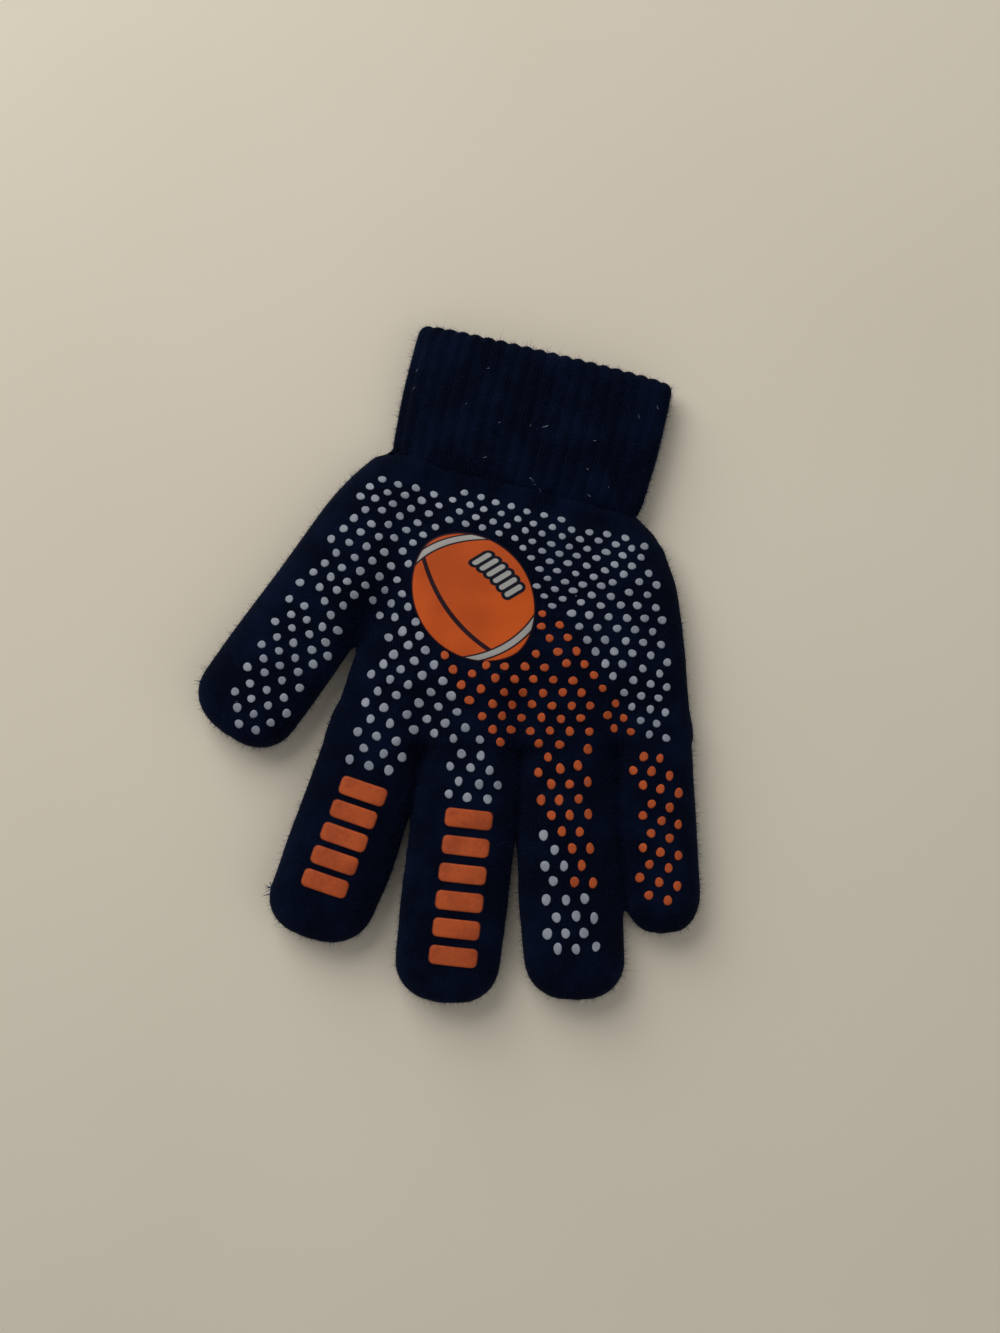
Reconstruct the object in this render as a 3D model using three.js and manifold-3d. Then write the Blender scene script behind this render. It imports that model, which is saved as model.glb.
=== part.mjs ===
// A child's knitted stretch glove for the right hand, lying palm up on a table, with a ribbed cuff and raised
// rubbery prints on its palm. Lengths are millimetres and angles are degrees.
// +Z is up, +Y runs from the fingertips to the cuff, and +X from the thumb to the little finger.
// The origin is on the table, under the middle of the glove's outline.
import * as THREE from "three";
import { mergeVertices } from "three/addons/utils/BufferGeometryUtils.js";
import Module from "manifold-3d";

const wasm = await Module();
wasm.setup();
const { degToRad, radToDeg, lerp, clamp } = THREE.MathUtils;

// The knitted fabric, and the gap between neighbouring pieces
const knitWall = 2;
const pieceGap = 0.3;

// The palm, from its seam with the cuff to the knuckle line, where the fingers part
const knuckleX = 14.8;
const knuckleY = -18.6;
const palmLength = 61;
const wristShift = 1.3;
const wristWidth = 62.4;
const palmThickness = 12.6;
const palmEndRound = 3;
const webGap = 1;

// The ribbed cuff
const cuffLength = 33.2;
const cuffWidth = 64.4;
const cuffThickness = 12;
const cuffTilt = 13.6;
const cuffWall = 2.4;
const ribPitch = 3.5;
const ribDepth = 0.7;
const rimScallop = 0.7;
const rimSoftening = 0.35;

// The fingers, from the thumb's side. clear is the gap to the finger before, where both are widest, and bow is how
// far the middle of the finger bends aside.
const fingers = [
  { name: "index_finger", length: 50.5, rootWidth: 22.6, width: 26.4, thickness: 11.2, clear: 0, bow: 1.2 },
  { name: "middle_finger", length: 63.8, rootWidth: 23.1, width: 25.8, thickness: 11.6, clear: 5.2, bow: 0 },
  { name: "ring_finger", length: 62.8, rootWidth: 21.2, width: 25, thickness: 11.2, clear: 4.1, bow: -0.8 },
  { name: "little_finger", length: 47, rootWidth: 18.2, width: 18.4, thickness: 10.6, clear: 0.45, bow: 0 },
];
const middleTilt = 6.45;
// From the knuckle line to the nearer side of the plane where a finger's own tube starts
const rootReach = 3.6;
const tipRound = 11;
const tipSquareness = 2.4;

// The thumb leaves the palm's side at the crotch, at this share of the palm's length
const thumb = { name: "thumb", length: 39.6, rootWidth: 25.2, width: 26, thickness: 11.4, bow: 0 };
const thumbTilt = 35.6;
const crotchShare = 0.595;

// How far the tubes of the fingers and thumb run on inside the palm, and over what length that end rounds off
const fingerStub = { length: 10, round: 8 };
const thumbStub = { length: 47, round: 30 };
const roundestStub = 0.9;

// The raised prints
const printThickness = 0.5;
const printGap = 0.4;
const ball = { x: -8.7, y: 33.9, tilt: -39, length: 34.5, width: 27.8, pointiness: 1.15 };
const bar = { width: 11.6, depth: 4.6, round: 1.2 };
const barRows = [
  { finger: "index_finger", count: 5, first: 12.4, pitch: 5.9, aside: 1.9, drift: -0.061 },
  { finger: "middle_finger", count: 6, first: 18.9, pitch: 6.55, aside: 1.3, drift: 0 },
];

// Shares of every section: how square it is, how much of its underside the table presses flat, and how a
// closing tip thins and lifts off the table
const roundness = 0.8;
const pressed = 0.24;
const thinning = 0.6;
const tipLift = 0.36;

// The palm's sections. along runs from the seam to the knuckle line. grow runs from the wrist's width to the
// knuckles' width, lean is a share of the knuckles' width, turn of the cuff's tilt, height of the thickness.
const palmRows = [
  { along: -0.05, grow: -0.04, lean: 0, turn: 1, height: 0.86 },
  { along: 0, grow: 0, lean: 0, turn: 1, height: 0.87 },
  { along: 0.07, grow: 0.146, lean: 0.0175, turn: 0.9, height: 0.9 },
  { along: 0.15, grow: 0.28, lean: 0.026, turn: 0.74, height: 0.94 },
  { along: 0.33, grow: 0.468, lean: 0.03, turn: 0.44, height: 1 },
  { along: 0.56, grow: 0.582, lean: 0.034, turn: 0.2, height: 1 },
  { along: 0.77, grow: 0.79, lean: 0.0165, turn: 0, height: 0.98 },
  { along: 0.94, grow: 0.94, lean: 0.0048, turn: 0, height: 0.94 },
  { along: 1, grow: 1, lean: 0, turn: 0, height: 0.92 },
];
// The palm's rounded end: shares of palmEndRound and of the width and height
const palmEndRows = [
  { reach: 0.6, closing: 0.965 },
  { reach: 1, closing: 0.88 },
];
// A finger's sections. along runs from its root to where its tip starts to round, and swell from its width at
// the root to its full width.
const fingerRows = [
  { along: -0.3, swell: 0, height: 0.88 },
  { along: 0, swell: 0.1, height: 0.92 },
  { along: 0.25, swell: 0.5, height: 0.97 },
  { along: 0.5, swell: 0.85, height: 1 },
  { along: 0.75, swell: 1, height: 1 },
  { along: 1, swell: 0.8, height: 0.97 },
];
const widestShare = 0.75;
// The cuff's sections, from its seam to its mouth
const cuffRows = [
  { along: 0, width: 0.965, height: 0.93, rim: 0 },
  { along: 0.12, width: 0.98, height: 0.97, rim: 0 },
  { along: 0.5, width: 1, height: 1, rim: 0 },
  { along: 0.93, width: 0.995, height: 0.95, rim: 0.3 },
  { along: 1, width: 0.96, height: 0.86, rim: 1 },
];

// Dents of the upper side, and mounds where depth is below 0. depth and spread are shares of the palm's
// thickness, and the places are shares of the palm's, thumb's, cuff's or knuckle line's size.
const dents = {
  crotch: { out: 0.05, back: 0.15, depth: 0.19, spread: 0.25 },
  thumbCrotch: { out: 0.1, back: 0.2, depth: 0.14, spread: 0.27 },
  thumbMound: { from: 0.2, to: 0.66, depth: -0.07, spread: 0.71 },
  wristGather: { from: -0.3, to: 0.44, out: 0.12, depth: 0.1, spread: 0.32 },
  knuckleMound: { reach: 0.3, back: 0.21, depth: -0.055, spread: 0.63 },
};

// How finely the pieces are faceted
const palmSides = 48;
const palmSteps = 12;
const digitSides = 20;
const hollowSides = 14;
const digitStep = 6;
const tipSteps = 4;
const overcut = 1;

// Value of one column of a table of rows, on a smooth curve through them
function columnAt(rows, column, along) {
  const last = rows.length - 1;
  const next = rows.findIndex((row) => row.along > along);
  const i = next < 0 ? last - 1 : Math.max(0, next - 1);
  const share = clamp((along - rows[i].along) / (rows[i + 1].along - rows[i].along), 0, 1);
  const [a, b, c, d] = [i - 1, i, i + 1, i + 2].map((k) => rows[clamp(k, 0, last)][column]);
  const bend = (2 * a - 5 * b + 4 * c - d) * share ** 2 + (3 * b - a - 3 * c + d) * share ** 3;
  return b + ((c - a) * share + bend) / 2;
}

// The glove's own frame has its origin at the middle of the knuckle line
const glove = new THREE.Group();
glove.position.set(knuckleX, knuckleY, 0);
glove.updateMatrixWorld();

// A frame on the table for one tube or pad. Its -Y runs along the tube, tilted from the parent's -Y to -X.
function addFrame(parent, x, y, tilt) {
  const frame = new THREE.Group();
  frame.position.set(x, y, 0);
  frame.rotation.z = degToRad(-tilt);
  parent.add(frame);
  frame.updateWorldMatrix(true, false);
  return frame;
}

function acrossAt(tilt) {
  return new THREE.Vector2(Math.cos(degToRad(tilt)), -Math.sin(degToRad(tilt)));
}

// How far a digit's middle line lies aside of its frame's -Y
function bowAt(digit, distance) {
  return digit.bow * Math.sin(Math.PI * clamp(distance / digit.length, 0, 1));
}

// Roots of the fingers, side by side on the knuckle line, and the tilts that keep neighbours clear
const knuckleWidth = fingers.reduce((sum, finger) => sum + finger.rootWidth + webGap, -webGap);

function setOutFingers() {
  let left = -knuckleWidth / 2;
  fingers.forEach((finger, i) => {
    finger.x = left + finger.rootWidth / 2;
    left += finger.rootWidth + webGap;
    if (i === 0) return;
    const before = fingers[i - 1];
    const swelling = (finger.width - finger.rootWidth + before.width - before.rootWidth) / 2;
    const reach = widestShare * Math.min(finger.length, before.length);
    const bending = bowAt(before, reach) - bowAt(finger, reach);
    finger.spread = radToDeg(Math.atan((swelling + bending + finger.clear - webGap) / reach));
  });
  const [index, middle, ring, little] = fingers;
  middle.tilt = middleTilt;
  index.tilt = middle.tilt + middle.spread;
  ring.tilt = middle.tilt - ring.spread;
  little.tilt = ring.tilt - little.spread;
  fingers.forEach((finger) => {
    finger.start = rootReach + (Math.abs(Math.sin(degToRad(finger.tilt))) * finger.rootWidth) / 2;
    finger.stub = fingerStub;
    finger.frame = addFrame(glove, finger.x, 0, finger.tilt);
  });
}
setOutFingers();

// The palm's sections in the glove's frame, and the thumb's root beside the crotch on its edge
function palmSection(along) {
  return {
    x: lerp(wristShift, 0, along) + columnAt(palmRows, "lean", along) * knuckleWidth,
    y: lerp(palmLength, 0, along),
    tilt: cuffTilt * columnAt(palmRows, "turn", along),
    width: lerp(wristWidth, knuckleWidth, columnAt(palmRows, "grow", along)),
    height: palmThickness * columnAt(palmRows, "height", along),
    closing: 1,
  };
}

function setOutThumb() {
  const section = palmSection(crotchShare);
  const root = new THREE.Vector2(section.x, section.y)
    .addScaledVector(acrossAt(section.tilt), -section.width / 2)
    .addScaledVector(acrossAt(thumbTilt), -thumb.rootWidth / 2);
  thumb.start = rootReach;
  thumb.stub = thumbStub;
  thumb.frame = addFrame(glove, root.x, root.y, thumbTilt);
}
setOutThumb();

const cuffFrame = addFrame(glove, wristShift, palmLength, cuffTilt);

// A dent is a stroke between two points of a frame
function stroke(frame, from, to, dent) {
  const [start, end] = [from, to].map(([x, y]) => frame.localToWorld(new THREE.Vector3(x, y, 0)));
  return {
    line: new THREE.Line3(start, end),
    depth: dent.depth * palmThickness,
    width: dent.spread * palmThickness,
  };
}

// A dent that runs back into the palm from a point on the edge or the knuckle line
function backStroke(frame, x, length, dent) {
  return stroke(frame, [x, -dent.out * length], [x, dent.back * length], dent);
}

function setOutStrokes() {
  const { crotch, thumbCrotch, thumbMound, wristGather, knuckleMound } = dents;
  const gatherY = -wristGather.out * cuffLength;
  const moundX = knuckleMound.reach * knuckleWidth;
  const moundY = knuckleMound.back * palmLength;
  return [
    ...fingers
      .slice(1)
      .map((finger) => finger.x - (finger.rootWidth + webGap) / 2)
      .map((x) => backStroke(glove, x, palmLength, crotch)),
    backStroke(thumb.frame, thumb.rootWidth / 2, thumb.length, thumbCrotch),
    stroke(thumb.frame, [0, thumbMound.to * thumb.length], [0, thumbMound.from * thumb.length], thumbMound),
    stroke(cuffFrame, [wristGather.from * cuffWidth, gatherY], [wristGather.to * cuffWidth, gatherY], wristGather),
    stroke(glove, [-moundX, moundY], [moundX, moundY], knuckleMound),
  ];
}
const strokes = setOutStrokes();

function dropAt(point) {
  const flat = new THREE.Vector3(point.x, point.y, 0);
  return strokes.reduce((drop, { line, depth, width }) => {
    const nearest = line.closestPointToPoint(flat, true, new THREE.Vector3());
    return drop + depth * Math.exp(-((nearest.distanceTo(flat) / width) ** 2));
  }, 0);
}

function softened(value) {
  return Math.sign(value) * Math.abs(value) ** roundness;
}

// One ring of points: a soft section pressed flat underneath. inset moves it inwards by a wall.
function sectionRing(frame, section, sides, inset = 0) {
  const across = acrossAt(section.tilt);
  const halfWidth = (section.width / 2 - inset) * section.closing;
  const full = section.height - 2 * inset;
  const height = full * section.closing ** thinning;
  const base = inset + (full - height) * tipLift;
  return Array.from({ length: sides }, (_, k) => {
    const angle = (2 * Math.PI * k) / sides;
    const up = softened(Math.sin(angle));
    const reach = softened(Math.cos(angle)) * halfWidth;
    const rise = (height * (1 + pressed) * (1 + up)) / 2 - pressed * height;
    const point = new THREE.Vector3(section.x + across.x * reach, section.y + across.y * reach, 0);
    const drop = dropAt(frame.localToWorld(point.clone())) * Math.max(0, up);
    return point.setZ(base + Math.max(0, rise) - drop);
  });
}

// Faces between each ring and the next. Rings run round anticlockwise, seen along -Y, and follow each other
// towards -Y, so the faces look out.
function bandFaces(rings, bands) {
  const sides = rings[0].length;
  const at = (ring, k) => (ring % rings.length) * sides + (k % sides);
  const faces = [];
  for (let ring = 0; ring < bands; ring++) {
    for (let k = 0; k < sides; k++) {
      faces.push(at(ring, k), at(ring, k + 1), at(ring + 1, k + 1));
      faces.push(at(ring, k), at(ring + 1, k + 1), at(ring + 1, k));
    }
  }
  return faces;
}

// A tube whose two ends are closed with flat fans
function cappedTube(rings) {
  const sides = rings[0].length;
  const faces = bandFaces(rings, rings.length - 1);
  const [first, last] = [rings[0], rings.at(-1)];
  const middles = [first, last].map((ring) => {
    return ring.reduce((sum, point) => sum.add(point), new THREE.Vector3()).divideScalar(sides);
  });
  const lastStart = (rings.length - 1) * sides;
  const [nearMiddle, farMiddle] = [rings.length * sides, rings.length * sides + 1];
  for (let k = 0; k < sides; k++) {
    const next = (k + 1) % sides;
    faces.push(nearMiddle, next, k);
    faces.push(farMiddle, lastStart + k, lastStart + next);
  }
  return new THREE.BufferGeometry().setFromPoints([...rings.flat(), ...middles]).setIndex(faces);
}

// A tube whose last ring joins its first, so that it is a wall with an open inside
function openTube(rings) {
  return new THREE.BufferGeometry().setFromPoints(rings.flat()).setIndex(bandFaces(rings, rings.length));
}

function solidFrom(geometry) {
  return new wasm.Manifold(
    new wasm.Mesh({
      numProp: 3,
      vertProperties: new Float32Array(geometry.getAttribute("position").array),
      triVerts: new Uint32Array(geometry.index.array),
    }),
  );
}

function geometryFrom(solid) {
  const mesh = solid.getMesh();
  return new THREE.BufferGeometry()
    .setAttribute("position", new THREE.BufferAttribute(new Float32Array(mesh.vertProperties), 3))
    .setIndex(new THREE.BufferAttribute(new Uint32Array(mesh.triVerts), 1));
}

function join(solids) {
  return solids.reduce((joined, solid) => joined.add(solid));
}

// The tube of a finger or thumb from one distance past its root to another, in its own frame
function digitSection(digit, distance, closing) {
  const along = distance / (digit.length - tipRound);
  return {
    x: bowAt(digit, distance),
    y: -distance,
    tilt: 0,
    width: lerp(digit.rootWidth, digit.width, columnAt(fingerRows, "swell", along)),
    height: digit.thickness * columnAt(fingerRows, "height", along),
    closing,
  };
}

function tubeOf(digit, sections, sides, inset) {
  return cappedTube(sections.map((section) => sectionRing(digit.frame, section, sides, inset)));
}

// The stub of a digit inside the palm, which rounds off at its far end, up to the digit's own start
function digitStub(digit, past, sides, inset) {
  const { length, round } = digit.stub;
  const to = digit.start + past;
  const steps = Math.ceil((to + length) / digitStep);
  const sections = Array.from({ length: steps + 1 }, (_, i) => {
    const distance = lerp(-length, to, i / steps);
    const rounding = clamp((round - length - distance) / round, 0, roundestStub);
    return digitSection(digit, distance, Math.sqrt(1 - rounding ** 2));
  });
  return tubeOf(digit, sections, sides, inset).applyMatrix4(digit.frame.matrix);
}

// The free part of a digit, up to its rounded tip
function digitTube(digit, from, sides, inset) {
  const tipStart = digit.length - tipRound;
  const steps = Math.ceil((tipStart - from) / digitStep);
  const straight = Array.from({ length: steps + 1 }, (_, i) => {
    return digitSection(digit, lerp(from, tipStart, i / steps), 1);
  });
  const bluntest = 0.985;
  const tip = Array.from({ length: tipSteps }, (_, i) => {
    const reach = Math.sin((Math.PI / 2) * ((i + 1) / tipSteps));
    const closing = (1 - (bluntest * reach) ** tipSquareness) ** (1 / tipSquareness);
    return digitSection(digit, tipStart + (tipRound - inset) * reach, closing);
  });
  return tubeOf(digit, [...straight, ...tip], sides, inset);
}

function makeDigit(digit) {
  const start = digit.start + pieceGap;
  const outer = solidFrom(digitTube(digit, start, digitSides, 0));
  return outer.subtract(solidFrom(digitTube(digit, start - overcut, hollowSides, knitWall)));
}

// The palm's own tube, rounded over at the knuckles
function palmTube(sides, inset) {
  const first = palmRows[0].along;
  const sections = Array.from({ length: palmSteps + 1 }, (_, i) => {
    return palmSection(lerp(first, 1, i / palmSteps));
  });
  const last = sections.at(-1);
  for (const { reach, closing } of palmEndRows) {
    sections.push({ ...last, y: -(palmEndRound - inset) * reach, closing });
  }
  return cappedTube(sections.map((section) => sectionRing(glove, section, sides, inset)));
}

// Everything on the cuff's side of its seam, to cut the palm with
function beyondSeam() {
  const size = 4 * cuffWidth;
  const block = new THREE.BoxGeometry(size, size, size).translate(0, size / 2, 0);
  block.deleteAttribute("normal").deleteAttribute("uv");
  return mergeVertices(block.applyMatrix4(cuffFrame.matrix));
}

function makePalm() {
  const digits = [...fingers, thumb];
  const stubs = digits.map((digit) => digitStub(digit, 0, digitSides, 0));
  const hollows = digits.map((digit) => digitStub(digit, overcut, hollowSides, knitWall));
  return join([palmTube(palmSides, 0), ...stubs].map(solidFrom))
    .subtract(solidFrom(beyondSeam()))
    .subtract(join([palmTube(palmSides / 2, knitWall), ...hollows].map(solidFrom)));
}

// A ring of evenly spaced points round a section of the cuff, standing out at the crests of its ribs
const ribProfile = [0, 1, 1];
const outlineSides = 240;

function ribbedRing(section, ribs, inset, depth, scallop) {
  const outline = sectionRing(cuffFrame, section, outlineSides, inset);
  const lengths = outline.map((point, i) => point.distanceTo(outline[(i + 1) % outlineSides]));
  const around = lengths.reduce((sum, length) => sum + length, 0);
  const count = ribs * ribProfile.length;
  const tubeAxis = new THREE.Vector3(0, -1, 0);
  let [edge, passed] = [0, 0];
  return Array.from({ length: count }, (_, k) => {
    const target = (around * k) / count;
    while (passed + lengths[edge] < target) passed += lengths[edge++];
    const [start, end] = [outline[edge], outline[(edge + 1) % outlineSides]];
    const outward = end.clone().sub(start).cross(tubeAxis).normalize();
    const crest = ribProfile[k % ribProfile.length];
    return start
      .clone()
      .lerp(end, (target - passed) / lengths[edge])
      .addScaledVector(outward, crest * depth)
      .addScaledVector(tubeAxis, -crest * scallop);
  });
}

function makeCuff() {
  const ribs = Math.round((2 * cuffWidth + cuffThickness) / ribPitch);
  const sections = cuffRows.map((row) => ({
    x: 0,
    y: lerp(pieceGap, cuffLength, row.along),
    tilt: 0,
    width: cuffWidth * row.width,
    height: cuffThickness * row.height,
    closing: 1,
  }));
  const outer = sections.map((section, i) => {
    const { rim } = cuffRows[i];
    return ribbedRing(section, ribs, ribDepth, ribDepth * (1 - rimSoftening * rim), rimScallop * rim);
  });
  const inner = [0, 2, 4].map((row) => ribbedRing(sections[row], ribs, cuffWall, 0, 0));
  return solidFrom(openTube([...outer.reverse(), ...inner]));
}

const knitNavy = new THREE.MeshStandardMaterial({ color: 0x0b1730, roughness: 0.95, metalness: 0 });
const cuffNavy = new THREE.MeshStandardMaterial({ color: 0x0a142b, roughness: 0.95, metalness: 0 });
const printOrange = new THREE.MeshStandardMaterial({ color: 0xc4571f, roughness: 0.6, metalness: 0 });

function addPiece(parent, name, solid, material) {
  const geometry = geometryFrom(solid);
  geometry.computeVertexNormals();
  const piece = new THREE.Mesh(geometry, material);
  piece.name = name;
  parent.add(piece);
  piece.updateWorldMatrix(true, false);
  return piece;
}

addPiece(cuffFrame, "cuff", makeCuff(), cuffNavy);
const palm = addPiece(glove, "palm", makePalm(), knitNavy);
addPiece(thumb.frame, thumb.name, makeDigit(thumb), knitNavy);
for (const finger of fingers) {
  finger.piece = addPiece(finger.frame, finger.name, makeDigit(finger), knitNavy);
}

// A raised pad: an outline round its frame's origin, laid by rays downwards on the piece that carries it
function drapedPad(frame, outline, rings, carrier) {
  const ray = new THREE.Raycaster();
  const down = new THREE.Vector3(0, 0, -1);
  const carrierHeight = (point) => {
    ray.set(frame.localToWorld(new THREE.Vector3(point.x, point.y, 2 * palmThickness)), down);
    return ray.intersectObject(carrier)[0].point.z;
  };
  const shares = Array.from({ length: rings }, (_, i) => (i + 1) / rings);
  const ringPoints = shares.flatMap((share) => outline.map((point) => point.clone().multiplyScalar(share)));
  const flat = [new THREE.Vector2(), ...ringPoints];
  const heights = flat.map(carrierHeight);
  const points = [printGap, printGap + printThickness].flatMap((lift) => {
    return flat.map(({ x, y }, i) => new THREE.Vector3(x, y, heights[i] + lift));
  });
  const sides = outline.length;
  const [bottom, top] = [0, flat.length];
  const at = (layer, ring, k) => layer + (ring === 0 ? 0 : 1 + (ring - 1) * sides + (k % sides));
  const faces = [];
  for (let k = 0; k < sides; k++) {
    for (const [layer, p, q] of [[top, k, k + 1], [bottom, k + 1, k]]) {
      for (let ring = 0; ring < rings; ring++) {
        faces.push(at(layer, ring, p), at(layer, ring + 1, p), at(layer, ring + 1, q));
        if (ring > 0) faces.push(at(layer, ring, p), at(layer, ring + 1, q), at(layer, ring, q));
      }
    }
    faces.push(at(bottom, rings, k), at(bottom, rings, k + 1), at(top, rings, k + 1));
    faces.push(at(bottom, rings, k), at(top, rings, k + 1), at(top, rings, k));
  }
  return solidFrom(new THREE.BufferGeometry().setFromPoints(points).setIndex(faces));
}

// The ball's outline: an oval drawn out to two blunt points, along its frame's Y
function ballOutline(sides) {
  return Array.from({ length: sides }, (_, k) => {
    const angle = (2 * Math.PI * k) / sides;
    const out = Math.cos(angle);
    const x = (Math.sign(out) * Math.abs(out) ** ball.pointiness * ball.width) / 2;
    return new THREE.Vector2(x, (Math.sin(angle) * ball.length) / 2);
  });
}

// A bar's outline, with rounded corners
function barOutline() {
  const [x, y] = [bar.width / 2 - bar.round, bar.depth / 2 - bar.round];
  const quarter = Math.PI / 2;
  const corners = [[x, y], [-x, y], [-x, -y], [x, -y]];
  const shape = new THREE.Shape();
  corners.forEach(([cx, cy], i) => shape.absarc(cx, cy, bar.round, i * quarter, (i + 1) * quarter));
  const points = shape.getPoints(1);
  return points[0].distanceTo(points.at(-1)) < bar.round / 10 ? points.slice(0, -1) : points;
}

const ballFrame = addFrame(glove, ball.x, ball.y, ball.tilt);
addPiece(ballFrame, "ball_print", drapedPad(ballFrame, ballOutline(28), 5, palm), printOrange);
for (const { finger: fingerName, count, first, pitch, aside, drift } of barRows) {
  const finger = fingers.find(({ name }) => name === fingerName);
  for (let i = 0; i < count; i++) {
    const frame = addFrame(finger.frame, aside + drift * i * pitch, -(first + i * pitch), 0);
    const name = fingerName.replace("finger", `bar_${i + 1}`);
    addPiece(frame, name, drapedPad(frame, barOutline(), 2, finger.piece), printOrange);
  }
}

export default glove;
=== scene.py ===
# %% [markdown]
# A child's knitted grip glove, lying palm up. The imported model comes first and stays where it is: its
# solids give the places and the sizes, and every piece made here is laid over them. Blender counts in
# metres and a knitter in millimetres, so the lesson works in millimetres and turns them into metres only
# when a mesh is made.

# %% Load the frame
import heapq
import math

import bpy
import numpy as np
import openvdb
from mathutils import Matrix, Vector
from mathutils.bvhtree import BVHTree


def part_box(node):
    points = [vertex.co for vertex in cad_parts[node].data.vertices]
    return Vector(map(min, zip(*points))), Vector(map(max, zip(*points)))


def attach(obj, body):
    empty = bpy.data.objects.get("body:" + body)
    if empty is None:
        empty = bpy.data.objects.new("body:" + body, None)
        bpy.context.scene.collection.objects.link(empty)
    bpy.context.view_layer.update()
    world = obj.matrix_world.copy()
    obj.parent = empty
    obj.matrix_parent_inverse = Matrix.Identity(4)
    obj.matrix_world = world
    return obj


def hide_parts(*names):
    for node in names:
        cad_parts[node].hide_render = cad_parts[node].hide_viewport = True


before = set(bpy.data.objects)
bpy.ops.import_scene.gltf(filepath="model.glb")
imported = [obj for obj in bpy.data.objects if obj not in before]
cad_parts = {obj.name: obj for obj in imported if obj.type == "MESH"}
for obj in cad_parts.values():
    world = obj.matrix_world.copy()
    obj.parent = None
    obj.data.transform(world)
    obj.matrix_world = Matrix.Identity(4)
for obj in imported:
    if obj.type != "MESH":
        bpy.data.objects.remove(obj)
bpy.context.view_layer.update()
MM = 0.001
print("packed solids:", len(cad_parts))

# %% [markdown]
# The photograph looks almost straight down. A camera is a place, a direction and a lens. Here the lens is
# worked out from how many millimetres of the table the picture is high, and the aim is a point between the
# palm and the table's edge, because the glove isn't in the middle of the picture.

# %% Camera
VIEW_HEIGHT = 321.2
CAMERA_DISTANCE = 370
CAMERA_ELEVATION = math.radians(88)
SENSOR_HEIGHT = 36
AIM = Vector((12.5, -1.1, 8)) * MM

camera_data = bpy.data.cameras.new("camera")
camera_data.sensor_fit = "VERTICAL"
camera_data.sensor_height = SENSOR_HEIGHT
camera_data.lens = SENSOR_HEIGHT * CAMERA_DISTANCE / VIEW_HEIGHT
camera_data.clip_start = 0.01
camera = bpy.data.objects.new("camera", camera_data)
back = Vector((0, -math.cos(CAMERA_ELEVATION), math.sin(CAMERA_ELEVATION)))
camera.location = AIM + back * CAMERA_DISTANCE * MM
camera.rotation_euler = (math.pi / 2 - CAMERA_ELEVATION, 0, 0)
bpy.context.scene.collection.objects.link(camera)
bpy.context.scene.camera = camera
print("lens", round(camera_data.lens, 1), "mm")

# %% [markdown]
# The light is a soft window light. A big area light above the fingers and the thumb side gives soft shadows
# to the right of the glove, a weaker one fills them in, and an even world light keeps the knit's valleys
# from going black. The floor is one pale, warm, matt plane a hair below the glove.

# %% Light
def add_area_light(name, place, size, power, colour):
    light = bpy.data.lights.new(name, "AREA")
    light.size = size
    light.energy = power
    light.color = colour
    holder = bpy.data.objects.new(name, light)
    holder.location = place
    holder.rotation_euler = (-Vector(place)).to_track_quat("-Z", "Y").to_euler()
    bpy.context.scene.collection.objects.link(holder)


add_area_light("window", (-0.38, 0.6, 0.52), 0.8, 6.5, (1.0, 0.985, 0.96))
add_area_light("fill", (0.9, -0.5, 0.9), 1.2, 2.6, (0.98, 0.98, 0.96))
world = bpy.data.worlds.new("room")
world.use_nodes = True
world.node_tree.nodes["Background"].inputs["Color"].default_value = (0.97, 0.98, 1.0, 1)
world.node_tree.nodes["Background"].inputs["Strength"].default_value = 0.27
bpy.context.scene.world = world
bpy.context.scene.view_settings.view_transform = "Standard"

# %% [markdown]
# A finish is a small tree of nodes. Written by hand, the trees hide their maths in boxes and wires, so two
# helpers turn them into expressions. Number wraps one socket, and its operators add Math nodes. Finish owns
# a material, and its method node adds any other node: type first, then settings, then sockets.

# %% Shader expressions
class Number:
    def __init__(self, finish, socket):
        self.finish = finish
        self.socket = socket

    def __add__(self, other):
        return self.finish.maths("ADD", self, other)

    def __sub__(self, other):
        return self.finish.maths("SUBTRACT", self, other)

    def __rsub__(self, other):
        return self.finish.maths("SUBTRACT", other, self)

    def __mul__(self, other):
        return self.finish.maths("MULTIPLY", self, other)

    def __truediv__(self, other):
        return self.finish.maths("DIVIDE", self, other)

    def __pow__(self, other):
        return self.finish.maths("POWER", self, other)

    def __abs__(self):
        return self.finish.maths("ABSOLUTE", self)

    __radd__ = __add__
    __rmul__ = __mul__


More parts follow.
